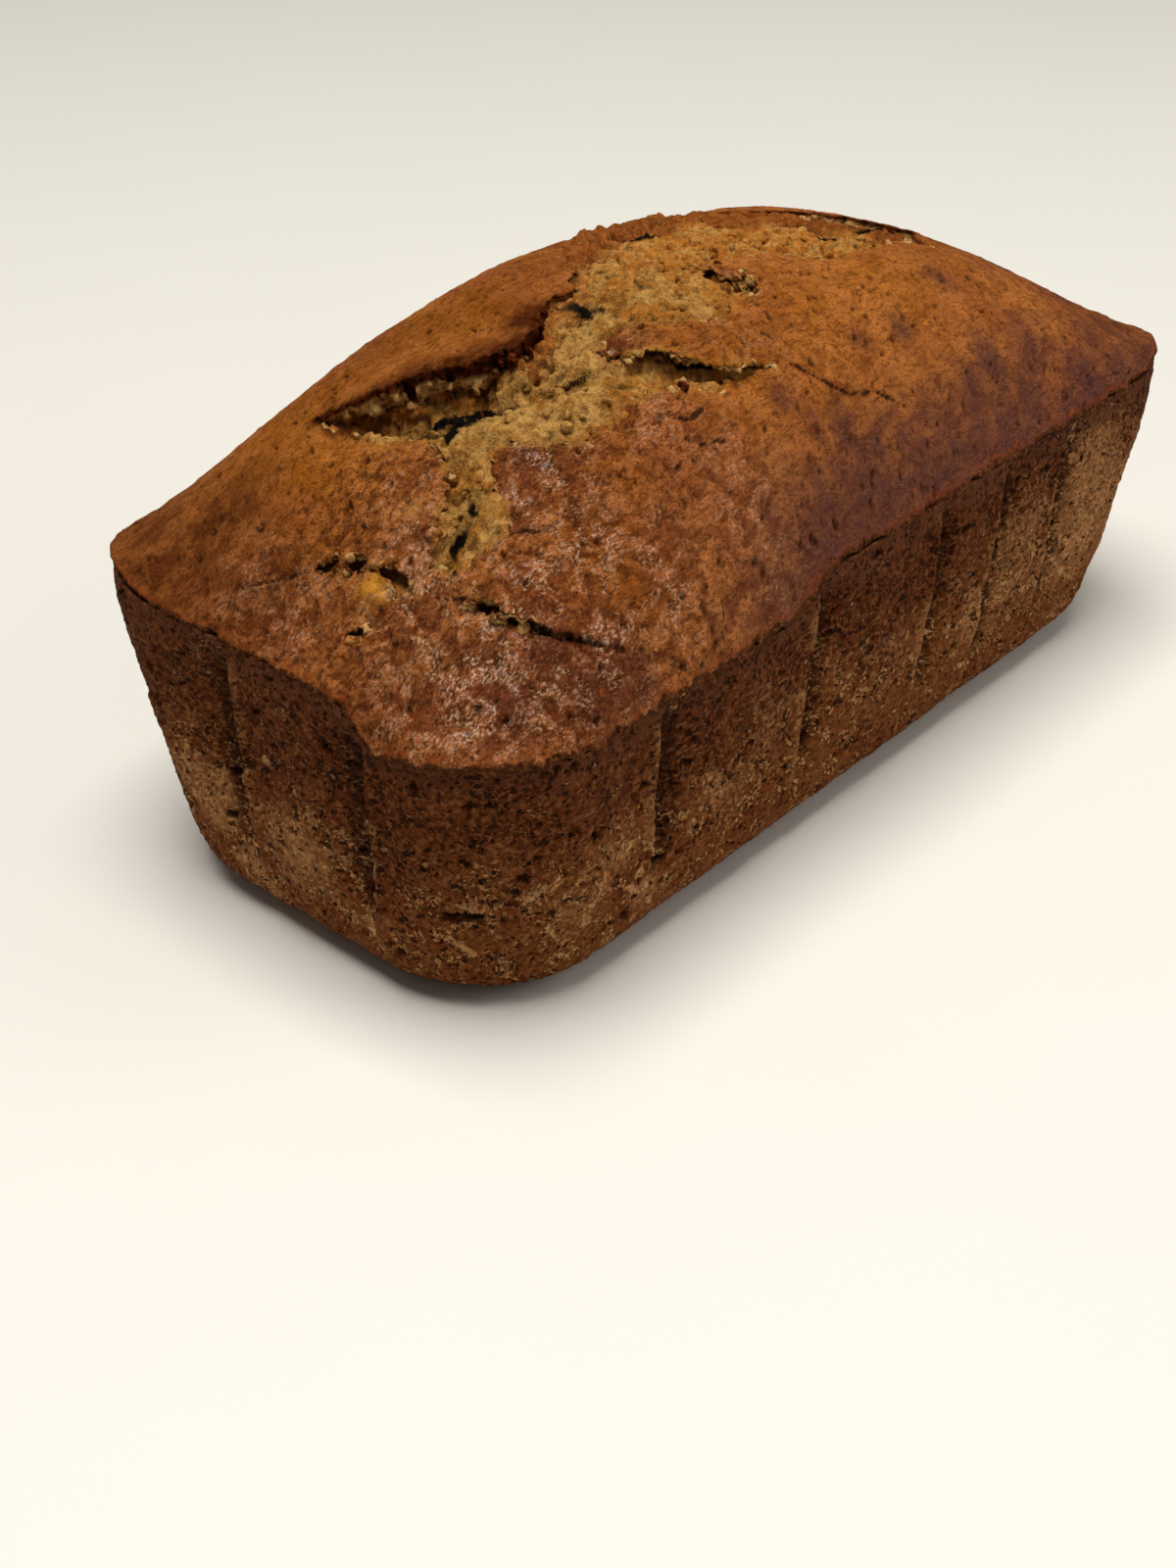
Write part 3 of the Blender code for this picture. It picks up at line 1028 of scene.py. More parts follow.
@dataclass(frozen=True)
class CrustFinish(Finish):
    """Browned, slightly sticky top crust: amber and red-brown, with purple-brown near the rim, and painted
    glints on its sticky patches.
    """

    name: str = "baked_crust"
    amber: Colour = srgb(222, 136, 64)
    brown: Colour = srgb(194, 112, 56)
    golden: Colour = srgb(190, 110, 12)
    purple: Colour = srgb(88, 54, 60)
    mauve: Colour = srgb(122, 70, 50)
    under: Colour = srgb(100, 54, 26)
    gap: Colour = srgb(56, 25, 8)
    line: Colour = srgb(172, 84, 38)
    roast: Colour = srgb(88, 36, 4)
    dark: Colour = srgb(84, 34, 8)
    rind: Colour = srgb(146, 62, 18)
    painted_glint: Colour = srgb(246, 200, 158)
    glint: Colour = srgb(228, 146, 66)
    honey: Colour = srgb(255, 176, 62)
    fringe: Colour = srgb(138, 62, 20)
    fringe_dark: Colour = srgb(50, 18, 6)
    crumb: Colour = srgb(204, 142, 56)
    tuft: Colour = srgb(255, 204, 126)
    toast: Colour = srgb(198, 126, 60)
    pit: Colour = srgb(38, 15, 4)

    def paint(self, pad: ShaderPad, place: Signal) -> None:
        """Colours from broad to fine, then painted glints, a glossy coat and grain.

        Args:
            pad: the material's tree.
            place: the piece's own coordinates.
        """
        front, rim, gloss = pad.mark("front"), pad.mark("rim"), pad.mark("gloss")
        blotch = pad.noise(place, 20, 4, 0.6)
        cloud = pad.noise(place, 4.5, 3, 0.6, 0.6)
        speck = pad.noise(place, 1.05, 3, 0.6)
        wrinkle = pad.noise(pad.stretch(place, (0.45, 1.5, 1.0)), 1.4, 3, 0.6, 0.8)
        dash = pad.noise(pad.stretch(place, (0.8, 1.3, 1.0)), 0.70, 5, 0.78, 0.1)
        grain = pad.noise(place, 0.5, 2, 0.6)
        pebble = pad.cells(pad.warp(place, 2.0, 0.9), 2.3)
        sticky_and_glints = gloss * (pad.step(0.54, 0.44, cloud) * 0.9 + 0.1)
        colour = pad.coats(
            self.browned(pad, blotch, cloud),
            (pad.step(0.44, 0.60, cloud) * gloss * 0.55, self.dark),
            (gloss * 0.32, self.rind),
            (pad.step(0.40, 0.58, blotch) * rim * 0.5, self.rind),
            # painted shade: darker where the relief lies low
            (pad.step(0.05, -0.55, pad.mark("relief")) * (front * 0.2 + 0.3), self.dark),
            (pad.step(0.52, 0.62, wrinkle) * (front * 0.15 + 0.45), self.dark),
            (pad.step(0.54, 0.62, speck) * (front * 0.25 + 0.35), self.dark),
            (pad.step(0.48, 0.36, grain) * (front * 0.25 + 0.30), self.dark),
            (pad.step(0.52, 0.78, pebble + (speck - 0.5) * 0.3) * front * 0.5, self.dark),
            (pad.mark("honey") * pad.step(0.25, 0.5, speck), self.honey),
            (pad.step(0.54, 0.62, dash) * 0.22, self.glint),
            # painted highlights: pale glints on the sticky patches, beside the real glossy coat
            (pad.step(0.515, 0.565, dash) * sticky_and_glints, self.painted_glint),
        )
        colour = self.torn(pad, self.lip(pad, colour, cloud, speck), cloud, speck)
        crease = pad.step(0.42, 0.15, pad.mark("crease") + (speck - 0.5) * 0.5)
        colour = pad.coats(colour, (crease * 0.85, self.pit), (pad.mark("pores"), self.pit))
        sheen = pad.step(0.54, 0.38, speck * 0.5 + pebble * 0.5) * sticky_and_glints * (1 - rim) * 0.6
        normal = None
        for height, depth in ((1 - speck, 1.1), (1 - wrinkle, 1.0), (dash, 0.9), (grain, 0.35)):
            normal = pad.bump(height, depth, normal)
        pad.feed(Base_Color=colour, Coat_Weight=sheen, Normal=normal)
        pad.fix({"Roughness": 0.7, "Coat Roughness": 0.42, "Coat IOR": 1.55, "IOR": 1.45,
                 "Specular IOR Level": 0.05})

    def browned(self, pad: ShaderPad, blotch: Signal, cloud: Signal) -> Signal:
        """Amber and brown that turn golden, purple or roasted by place.

        Args:
            pad: the material's tree.
            blotch, cloud: broad and finer noise.

        Returns:
            The colour under the grain.
        """
        some = pad.step(0.25, 0.60, cloud)
        purple = pad.mark("purple") + (blotch - 0.5) * 0.8
        return pad.coats(
            pad.blend(pad.step(0.36, 0.62, blotch), self.brown, self.amber),
            (pad.step(0.44, 0.70, cloud) * 0.45, self.dark),
            (some * pad.mark("golden"), self.golden),
            (pad.step(0.10, 0.95, purple + (cloud - 0.5) * 0.6) * 0.8, self.mauve),
            (pad.step(0.35, 1.25, purple + (cloud - 0.5) * 0.9) * 0.85, self.purple),
            ((some * 0.4 + 0.5) * pad.mark("roast"), self.roast),
        )

    def lip(self, pad: ShaderPad, colour: Signal, cloud: Signal, speck: Signal) -> Signal:
        """A broken red line along the rim, and the darker skin that hangs below it.

        Args:
            pad: the material's tree.
            colour: the crust's colour.
            cloud, speck: coarser and finer noise.

        Returns:
            The colour with the lip.
        """
        lip = pad.mark("lip") + (cloud - 0.5) * 0.9 + (speck - 0.5) * 0.4
        line = pad.step(0.10, 0.28, lip) * pad.step(0.46, 0.62, cloud * 0.5 + speck * 0.5)
        skin = pad.coats(self.under, (pad.step(0.50, 0.57, speck) * 0.65, self.gap),
                         (pad.step(0.46, 0.38, speck) * 0.22, self.glint))
        return pad.coats(colour, (line * 0.7, self.line), (pad.step(0.34, 0.54, lip) * 0.95, skin))

    def torn(self, pad: ShaderPad, colour: Signal, cloud: Signal, speck: Signal) -> Signal:
        """Paler skin towards the tear, and dark rolled edges with crumb hanging from them.

        Args:
            pad: the material's tree.
            colour: the crust's colour.
            cloud, speck: coarser and finer noise.

        Returns:
            The colour with the torn edges.
        """
        toward = pad.step(1.6, -1.2, pad.mark("soft") + (cloud - 0.5) * 7.0 + (speck - 0.5) * 3.0)
        tuft = pad.coats(self.tuft, (pad.step(0.40, 0.62, cloud * 0.6 + speck * 0.4), self.toast),
                         (pad.step(0.58, 0.68, speck) * 0.55, self.fringe_dark))
        torn = pad.mark("torn")
        inner = torn - pad.mark("rolled") + (cloud - 0.5) * 0.5
        ragged = pad.coats(self.fringe_dark, (pad.step(0.42, 0.60, speck), self.fringe),
                           (pad.step(-0.06, 0.12, inner), tuft))
        return pad.coats(colour, (toward * pad.step(0.9, 0.1, pad.mark("far")) * 0.75, self.crumb),
                         (pad.step(0.04, 0.16, torn), ragged))


@dataclass(frozen=True)
class CrumbFinish(Finish):
    """Torn banana-bread crumb: khaki yellow, moist and with painted shade deep in its hollows, a painted
    shadow in the gaps under the far side, and golden at its tips.
    """

    name: str = "torn_crumb"
    khaki: Colour = srgb(214, 162, 86)
    olive: Colour = srgb(178, 122, 50)
    golden: Colour = srgb(204, 124, 42)
    toast: Colour = srgb(176, 100, 38)
    crust: Colour = srgb(172, 100, 40)
    browned: Colour = srgb(146, 74, 24)
    shade: Colour = srgb(92, 62, 24)
    painted_gap_shadow: Colour = srgb(18, 10, 4)

    def paint(self, pad: ShaderPad, place: Signal) -> None:
        """Colour by height of the tufts and depth of the hollows.

        Args:
            pad: the material's tree.
            place: the piece's own coordinates.
        """
        relief, hollow, toast, crest = map(pad.mark, ("relief", "hollow", "toast", "crest"))
        broad = pad.noise(place, 9, 2, 0.5)
        cloud = pad.noise(place, 4.2, 3, 0.6, 1.0)
        speck = pad.noise(place, 1.5, 4, 0.65, 0.5)
        pore = pad.cells(pad.warp(place, 1.6, 1.1), 2.4)
        browned = pad.blend(pad.step(0.42, 0.60, cloud), self.crust, self.browned)
        dark = pad.mark("dark") * 1.1 + (cloud - 0.5) * 0.7 + (speck - 0.5) * 0.7
        colour = pad.coats(
            pad.blend(pad.step(0.42, 0.60, cloud + (broad - 0.5) * 0.6), self.khaki, self.olive),
            (pad.mark("baked") * pad.step(0.30, 0.58, cloud) * 0.85, self.golden),
            (pad.step(0.1, 1.2, relief + (broad - 0.5) * 5.0) * 0.6, self.golden),
            (toast * pad.step(0.25, 0.6, speck + relief * 0.1), self.toast),
            (crest * pad.step(0.72, 0.58, cloud), browned),
            (pad.step(0.54, 0.68, speck) * 0.55, self.shade),
            (pad.step(0.26, 0.10, pore) * 0.5, self.shade),
            (pad.step(0.1, -1.2, relief) * 0.85, self.shade),
        )
        # moist crumb and painted shade: darker the deeper the hollow
        colour = pad.blend(pad.step(6.0, 14.0, hollow) * 0.55, colour, self.shade, "MULTIPLY")
        # painted shadow: near black in the gaps under the far side, where hardly any light gets in
        colour = pad.blend(pad.step(0.30, 0.85, dark), colour, self.painted_gap_shadow)
        normal = pad.bump(1 - speck, 2.0)
        normal = pad.bump(pad.noise(place, 0.5, 3, 0.7), 0.6, normal)
        pad.feed(Base_Color=colour, Normal=normal)
        pad.fix({"Roughness": 0.75, "IOR": 1.4, "Specular IOR Level": 0.12})


@dataclass(frozen=True)
class WallFinish(Finish):
    """Tin-baked wall: dull brown crumb skin with open pores and paler flakes."""

    name: str = "baked_wall"
    brown: Colour = srgb(116, 64, 28)
    tan: Colour = srgb(164, 112, 68)
    flake: Colour = srgb(206, 154, 100)
    russet: Colour = srgb(106, 50, 16)
    under: Colour = srgb(92, 52, 32)
    band: Colour = srgb(84, 36, 12)
    gap: Colour = srgb(60, 28, 10)
    hollow: Colour = srgb(46, 20, 8)
    pit: Colour = srgb(34, 14, 5)

    def paint(self, pad: ShaderPad, place: Signal) -> None:
        """A darker band under the rim, painted shade in the folds and a painted highlight on the ridges
        beside them, tan flakes, and crumb with open pores.

        Args:
            pad: the material's tree.
            place: the piece's own coordinates.
        """
        up, fold, pale = pad.mark("up"), pad.mark("fold"), pad.mark("pale")
        blotch = pad.noise(place, 16, 4, 0.6, 0.5)
        cloud = pad.noise(place, 5.0, 4, 0.62, 0.8)
        speck = pad.noise(place, 1.1, 3, 0.6, 0.5)
        shaken = pad.warp(place, 1.2, 0.8)
        fine, wide = pad.cells(shaken, 1.35), pad.cells(pad.stretch(shaken, (1, 1, 1.3)), 3.3)
        height = up + (blotch - 0.5) * 0.5
        rough = pad.step(0.30, 0.80, height + (cloud - 0.5) * 0.5)
        fold_shading = fold + (cloud - 0.5) * 0.5
        edge = pad.step(0.535, 0.555, cloud) * pad.step(0.60, 0.57, cloud) * pad.step(0.70, 0.45, height)
        shade = (cloud - 0.5) * 0.8 + (speck - 0.5) * 0.5 + (blotch - 0.5) * 0.5
        hole = pad.step(0.0, 0.08, rough * 0.10 + 0.25 - pale * 0.08 - fine + shade)
        deep = pad.step(0.0, 0.06, 0.20 - wide + shade)
        chip = pad.step(0.40, 0.75, pad.mark("chip") + (speck - 0.5) * 1.8 + (cloud - 0.5) * 2.5)
        colour = pad.coats(
            pad.blend(pad.step(0.20, 0.85, pale + (cloud - 0.5) * 2.0), self.brown, self.tan),
            (pad.step(0.46, 0.60, blotch) * 0.7 * (1 - pale * 0.6), self.russet),
            (rough * (0.7 - pale * 0.45), self.band),
            # painted shade in the folds of the liner
            (pad.step(0.10, 0.65, fold_shading) * 0.95, self.gap),
            # tan mottle, strongest on the ridge beside each fold as a painted highlight
            (pad.step(-0.02, -0.30, fold_shading) * pad.step(0.60, 0.42, blotch) * 0.6, self.tan),
            (pad.step(0.51, 0.60, speck) * (rough * 0.20 + 0.45 - pale * 0.2), self.gap),
            (pad.step(0.47, 0.39, speck) * (0.14 + pale * 0.32), self.flake),
            (edge * pad.step(0.56, 0.46, speck) * 0.9, self.flake),
            (pad.step(0.88, 0.96, up + (cloud - 0.5) * 0.2) * 0.7, self.under),
            (hole * (0.75 - pale * 0.2), self.hollow),
            (deep * 0.85, self.pit),
            (chip * 0.65, self.flake),
            (pad.mark("pores"), self.pit),
        )
        normal = pad.bump(1 - speck, 1.2)
        normal = pad.bump(1 - pad.math("MAXIMUM", hole, deep), 1.2, normal)
        pad.feed(Base_Color=colour, Normal=normal)
        pad.fix({"Roughness": 0.8, "IOR": 1.42, "Specular IOR Level": 0.05})


@dataclass(frozen=True)
class FloorFinish(Finish):
    """Plain pale floor."""

    name: str = "pale_floor"
    pale: Colour = srgb(236, 233, 224)

    def paint(self, pad: ShaderPad, place: Signal) -> None:
        """A hardly visible mottle, so that the floor isn't one flat colour.

        Args:
            pad: the material's tree.
            place: the piece's own coordinates.
        """
        mottle = pad.noise(place, 60, 3)
        pad.feed(Base_Color=pad.blend(mottle * 0.25, self.pale, srgb(226, 223, 214)))
        pad.fix({"Roughness": 0.5})


# ---- the top crust
def patches(x: Array, y: Array, spots: Stations) -> Array:
    """Strength of soft round patches, each x, y, radius and strength in mm.

    Args:
        x, y: places in mm.
        spots: the patches.

    Returns:
        Strengths, from 0 up.
    """
    total = np.zeros(x.shape)
    for spot_x, spot_y, radius, strength in spots:
        total = np.maximum(total, strength * bell(np.hypot(x - spot_x, y - spot_y), radius))
    return total


@dataclass
class TopCrust:
    """The domed crust: a thin shell with torn openings and a lip round the rim."""

    form: LoafForm
    tear: Tear
    finish: CrustFinish = CrustFinish()
    fine: float = 0.52
    coarse_long: float = 0.95
    coarse_wide: float = 1.7
    lip_share: float = 0.03
    lip_rows: int = 7
    lip_drop: float = 2.6
    lip_ragged: float = 2.4
    lip_proud: float = 0.12
    lip_tuck: float = 1.1
    rounding: float = 3.6
    slant_reach: float = 1.8
    rim_wave: float = 1.0
    rounding_passes: int = 30
    sink_depth: float = 0.7
    sink_reach: float = 1.6
    front_start: float = -62.0
    front_end: float = 8.0
    front_wander: float = 9.0
    singe_least: float = 1.6
    singe_most: float = 4.6
    block_margin: float = 3.0
    torn_margin: float = 0.6
    golden: Stations = (
        (-84, 30, 14, 0.8), (-92, 14, 11, 0.8), (-88, 3, 9, 0.5), (-99, 1, 6, 0.6), (-101, -14, 3.2, 1),
        (-74, -43, 9, 0.6), (-9, -44, 8, 0.5), (-26, -31, 12, 0.7), (-48, -26, 6, 0.6), (0, -28, 16, 0.5),
        (-50, 16, 16, 0.8), (-72, 22, 12, 0.7), (-15, 24, 16, 0.6), (28, -28, 18, 0.5), (-62, -34, 7, 0.4),
        (60, -25, 16, 0.3),
    )
    purple: Stations = (
        (33, -52, 9, 0.9), (54, -53, 10, 1), (74, -54, 10, 1), (17, -53, 8, 0.7), (-1, -51, 6, 0.8),
        (-8, -46, 5, 0.8), (-15, -44, 4, 0.7), (-45, -41, 6, 0.5), (-57, -45, 5, 0.5), (-35, -50, 8, 0.7),
        (-77, -55, 7, 0.7), (-89, -52, 7, 0.8), (100, -45, 14, 0.7), (108, -20, 12, 0.4), (8, -37, 4, 0.6),
        (-113, 45, 12, 0.4), (60, 50, 16, 0.6), (-30, 52, 14, 0.5), (106, 30, 12, 0.5),
        (-45, -19, 4.5, 0.35), (-38, -21, 4, 0.4), (-7, -17, 5, 0.5), (-71, -22, 4, 0.8),
        (86, -48, 12, 0.8), (22, -38, 5, 0.7), (48, -30, 6, 0.7), (70, -28, 5, 0.6), (-20, -40, 5, 0.6),
        (88, -20, 10, 0.7), (60, -46, 10, 0.8), (44, -47, 8, 0.8), (92, -34, 9, 0.7), (-101, -46, 9, 0.75),
        (-92, -46, 8, 0.75), (-83, -52, 8, 0.7),
    )
    roast: Stations = (
        (-114, 30, 18, 1), (-103, 27, 13, 1), (-112, 8, 12, 0.7), (-104, 46, 16, 0.8), (-113, -20, 8, 0.4),
        (-88, -54, 8, 0.5), (-52, 14, 16, 0.35), (-64, 24, 14, 0.3), (-24, 16, 14, 0.25), (112, 0, 20, 0.8),
        (105, -35, 14, 0.6), (60, 56, 20, 0.6), (-40, 58, 22, 0.6), (0, 58, 20, 0.6), (34, 8, 9, 0.7),
        (50, -1, 8, 0.8), (62, -9, 6, 0.8), (18, 14, 8, 0.5), (69, -15, 4, 0.6), (-45, -19, 4.5, 0.9),
        (-38, -20, 4, 0.5), (-66, -22, 5, 0.5), (-9, -14, 4, 0.7), (-62, 6, 5, 0.3), (-76, -12, 6, 0.4),
        (-70, -24, 5, 0.6),
    )
    honey: Stations = ((-101.3, -13.2, 2.2, 1), (-101.8, -16, 1.4, 0.8), (-90, -12.5, 2, 0.3))
    gloss: Stations = (
        (-105, -38, 13, 1), (-101, -25, 9, 0.9), (-87, -7, 6, 0.5), (-92, -18, 8, 0.7), (-100, -17, 6, 0.8),
        (-70, -26, 8, 0.8), (-73, -38, 7, 0.9), (-81, -27, 6, 0.9), (-88, -37, 7, 0.8), (-95, -49, 8, 0.8),
        (-80, -48, 8, 0.8), (-64, -48, 8, 0.6), (-50, -31, 7, 0.5), (-110, -4, 9, 0.45), (-108, 12, 8, 0.3),
        (-41, -46, 10, 0.35), (-45, -18, 5, 0.8), (-6, -18, 4, 0.6), (-22, -30, 8, 0.25),
    )
    folds: tuple[Stations, ...] = (
        ((-87, -32, 2.4, 0.3), (-80, -37.5, 2.6, 1), (-74.5, -41, 2.4, 1.3), (-66, -43, 2.4, 0.9),
         (-56, -43.5, 2.4, 0.3)),
        ((-80, -44, 2.2, 0.2), (-74, -47, 2.6, 0.9), (-66, -48.5, 2.4, 0.7), (-58, -48, 2.4, 0.2)),
        ((-76, -33, 4, -0.4), (-70, -37, 4.5, -1.1), (-62, -38, 4, -0.3)),
        ((-112, -36, 2, -0.5), (-108, -46, 2.2, -0.8), (-98, -52, 2, -0.5)),
        ((-106, -26, 2, 0.3), (-100, -34, 2.4, 0.7), (-92, -40, 2.2, 0.3)),
        ((-96, -4, 2.4, 0.2), (-91, -12, 2.8, 0.9), (-90, -20, 2.6, 0.7), (-95, -26, 2.2, 0.2)),
        ((-30, -50, 2.2, -0.8), (-16, -47, 2.2, -1.3), (-8, -44, 2, -0.5)),
        ((14, -49, 2.4, -0.7), (30, -51, 2.4, -1.3), (52, -51, 2.6, -0.9), (74, -52, 2.4, -0.7)),
        ((22, -46, 2.2, 0.7), (40, -47, 2.4, 0.8), (60, -48, 2.2, 0.5)),
        ((36, 15, 2, 0.4), (46, 7, 2.2, 1.3), (57, -2, 2.2, 1.4), (66, -11, 2, 1.3), (71, -17, 1.6, 0.5)),
    )
    creases: tuple[Stations, ...] = (
        ((-13, -36.5, 1, 1), (-6, -41, 1, 1), (-2, -43, 1, 1), (5, -44, 1, 1), (12, -47, 1, 1)),
        ((-47, -34.5, 1, 1), (-43, -36.2, 1, 1), (-39, -36, 1, 1)),
        ((-44, -39.5, 1, 1), (-38, -40.5, 1, 1)),
        ((-110, 13, 1, 1), (-107, 6.5, 1, 1), (-104.5, 2, 1, 1)),
        ((-98, -25, 1, 1), (-96, -30, 1, 1)),
        ((-92, -41, 1, 1), (-88, -45.4, 1, 1), (-84, -48.4, 1, 1), (-78, -51, 1, 1)),
        ((-84, -29, 1, 1), (-78, -33.5, 1, 1)),
        ((11.4, -55.6, 0.9, 1), (12.8, -55.8, 1, 1)),
    )

    def lines(self, coarse: float, half: float, knee: float) -> Array:
        """Grid lines along one side, with the lip's lines beyond both ends.

        Args:
            coarse: greatest spacing in mm.
            half: half the side in mm.
            knee: where the spacing starts to grow.

        Returns:
            Places from -1 to 1, and past both for the lip.
        """
        inner = graded_lines(-1.0, 1.0, self.fine / half, coarse / half, knee)
        beyond = self.lip_share * np.arange(1, self.lip_rows + 1) / self.lip_rows
        return np.concatenate([-1 - beyond[::-1], inner, 1 + beyond])

    def skin(self) -> tuple[Array, Array, Array, dict[str, Array]]:
        """Shapes the skin of the dome and its lip.

        Returns:
            The points in mm, how far each one curls, the kept cells, and the points' marks.
        """
        form, tear = self.form, self.tear
        half_long, half_wide = form.rim_length / 2 / MM, form.rim_width / 2 / MM
        u, v = np.meshgrid(self.lines(self.coarse_long, half_long, -0.1),
                           self.lines(self.coarse_wide, half_wide, 0.1), indexing="ij")
        ring = np.maximum(np.abs(u), np.abs(v))
        x, y, _ = form.place(np.clip(u, -1, 1), np.clip(v, -1, 1))
        x, y = x / MM, y / MM
        edge = tear.edge(x, y)
        keep = (edge[:-1, :-1] > 0) & (edge[1:, :-1] > 0) & (edge[:-1, 1:] > 0) & (edge[1:, 1:] > 0)
        keep = open_corners(keep)
        x, y, edge = self.snap(x, y, edge, keep)
        far = tear.far_side(x, y)
        z = form.height(x * MM, y * MM, np.minimum(ring, 1.0)) / MM
        z = z - self.sink_depth * (1 - far) * bell(np.maximum(edge, 0), self.sink_reach)
        for fold in self.folds:
            nearest, _, amount = chain(x, y, fold)
            z = z + amount * bell(nearest, 1.0)
        points = np.stack([x, y, z], axis=-1)
        points = self.hang_lip(points, u, v, ring)
        points = self.round_rim(points, ring, half_long, half_wide)
        points = self.wave_rim(points, u, v, half_long, half_wide)
        shift = np.stack(tear.crust_shift(x, y), axis=-1) * (ring <= 1)[..., None]
        return points, shift, keep, self.marks(x, y, ring, edge)

    def marks(self, x: Array, y: Array, ring: Array, edge: Array) -> dict[str, Array]:
        """What the relief and the finish need to know about each point.

        Args:
            x, y: places in mm.
            ring: 1 on the rim, more on the lip.
            edge: distance from the torn edge in mm.

        Returns:
            A value for each point, by attribute.
        """
        far = self.tear.far_side(x, y)
        flat = np.stack([x, y, np.zeros_like(x)], axis=-1)
        crease = np.full(x.shape, 9.0)
        for stations in self.creases:
            crease = np.minimum(crease, chain(x, y, stations)[1] + 1)
        crease = crease + 0.3 * Noise(61).single(flat, 2.5)
        # The front end is rougher and more sticky than the rest, but for its far side.
        wander = self.front_wander * Noise(62).single(flat, 22)
        front = 1 - ease(self.front_start, self.front_end, x - 0.5 * y + wander)
        front = np.maximum(front, 0.6 * bell(np.hypot(x + 20, y + 16), 22))
        front = front * (1 - 0.85 * ease(6, 18, y + 0.35 * (x + 100)))
        # Purple grows towards the near rim and the +X end.
        purple = np.maximum(patches(x, y, self.purple), 0.95 * bell(y + 60, 17) * ease(-90, -20, x))
        purple = np.maximum(purple, 0.5 * ease(55, 112, x))
        # The overhanging edge is singed as far as x = -40.
        reach = mix(self.singe_least, self.singe_most, ease(-80, -56, x))
        singed = far * bell(np.maximum(edge, 0), reach) * (1 - ease(-43, -37, x))
        roast = np.maximum(patches(x, y, self.roast), singed * 1.4)
        rolled = 0.25 + 0.35 * far * ease(-76, -54, x) * (1 - ease(-43, -37, x))
        return {
            "edge": edge, "rolled": rolled, "soft": outline_distance(x, y, self.tear.opening), "far": far,
            "crease": crease, "front": front, "rim": ease(0.988, 1.0, ring),
            "golden": patches(x, y, self.golden), "purple": purple, "roast": roast,
            "lip": ease(0.982, 1 + self.lip_share, ring), "gloss": patches(x, y, self.gloss),
            "honey": patches(x, y, self.honey),
        }

    def snap(self, x: Array, y: Array, edge: Array, keep: Array) -> tuple[Array, Array, Array]:
        """Moves the points beside an opening onto its torn edge.

        Args:
            x, y, edge: the grid, and its distance from the torn edge.
            keep: the kept cells.

        Returns:
            x, y and edge after the move.
        """
        padded = np.pad(keep, 1)
        around = [padded[:-1, :-1], padded[1:, :-1], padded[:-1, 1:], padded[1:, 1:]]
        count = sum(part.astype(int) for part in around)
        inner = np.zeros_like(count, bool)
        inner[1:-1, 1:-1] = True
        border = (count > 0) & (count < 4) & inner
        probe = 0.15
        px, py = x[border], y[border]
        value = self.tear.edge(px, py)
        slope_x = (self.tear.edge(px + probe, py) - value) / probe
        slope_y = (self.tear.edge(px, py + probe) - value) / probe
        square = np.maximum(slope_x ** 2 + slope_y ** 2, 0.25)
        step = np.clip(value, 0, 0.8 * self.fine) / square
        x, y, edge = x.copy(), y.copy(), edge.copy()
        x[border] = px - step * slope_x
        y[border] = py - step * slope_y
        edge[border] = 0.0
        return x, y, edge

    def hang_lip(self, points: Array, u: Array, v: Array, ring: Array) -> Array:
        """Hangs the points beyond the rim down the wall as a ragged lip.

        Args:
            points: the skin.
            u, v: places on the unit square and past it.
            ring: 1 on the rim, more on the lip.

        Returns:
            The skin with its lip.
        """
        rim_x, rim_y, way_x, way_y = self.form.rim_point(u / ring, v / ring)
        top = self.form.height(rim_x, rim_y, np.ones_like(ring)) / MM
        rim = np.stack([rim_x / MM, rim_y / MM, top], axis=-1)
        level = rim * (1, 1, 0)
        drop = self.lip_drop + self.lip_ragged * Noise(71).layered(level, 11, 4, 0.7)
        share = np.clip((ring - 1) / self.lip_share, 0, 1)
        proud = self.lip_proud * np.sin(np.pi * np.clip(share * 1.25, 0, 1))
        proud = proud - self.lip_tuck * ease(0.55, 1.0, share)
        hung = np.stack([rim[..., 0] + way_x * proud, rim[..., 1] + way_y * proud,
                         rim[..., 2] - np.maximum(drop, 1.2) * share], axis=-1)
        return np.where((ring > 1)[..., None], hung, points)

    def round_rim(self, points: Array, ring: Array, half_long: float, half_wide: float) -> Array:
        """Rounds the fold between dome and lip.

        Args:
            points: the skin.
            ring: 1 on the rim, more on the lip.
            half_long, half_wide: half the rim's sides in mm.

        Returns:
            The rounded skin.
        """
        inward = np.minimum(half_long - np.abs(points[..., 0]), half_wide - np.abs(points[..., 1]))
        distance = np.where(ring > 1, self.lip_drop * (ring - 1) / self.lip_share, inward)
        weight = 0.5 * bell(distance, self.rounding)[1:-1, 1:-1, None]
        points = points.copy()
        for _ in range(self.rounding_passes):
            around = (points[:-2, 1:-1] + points[2:, 1:-1] + points[1:-1, :-2] + points[1:-1, 2:]) / 4
            points[1:-1, 1:-1] += weight * (around - points[1:-1, 1:-1])
        return points

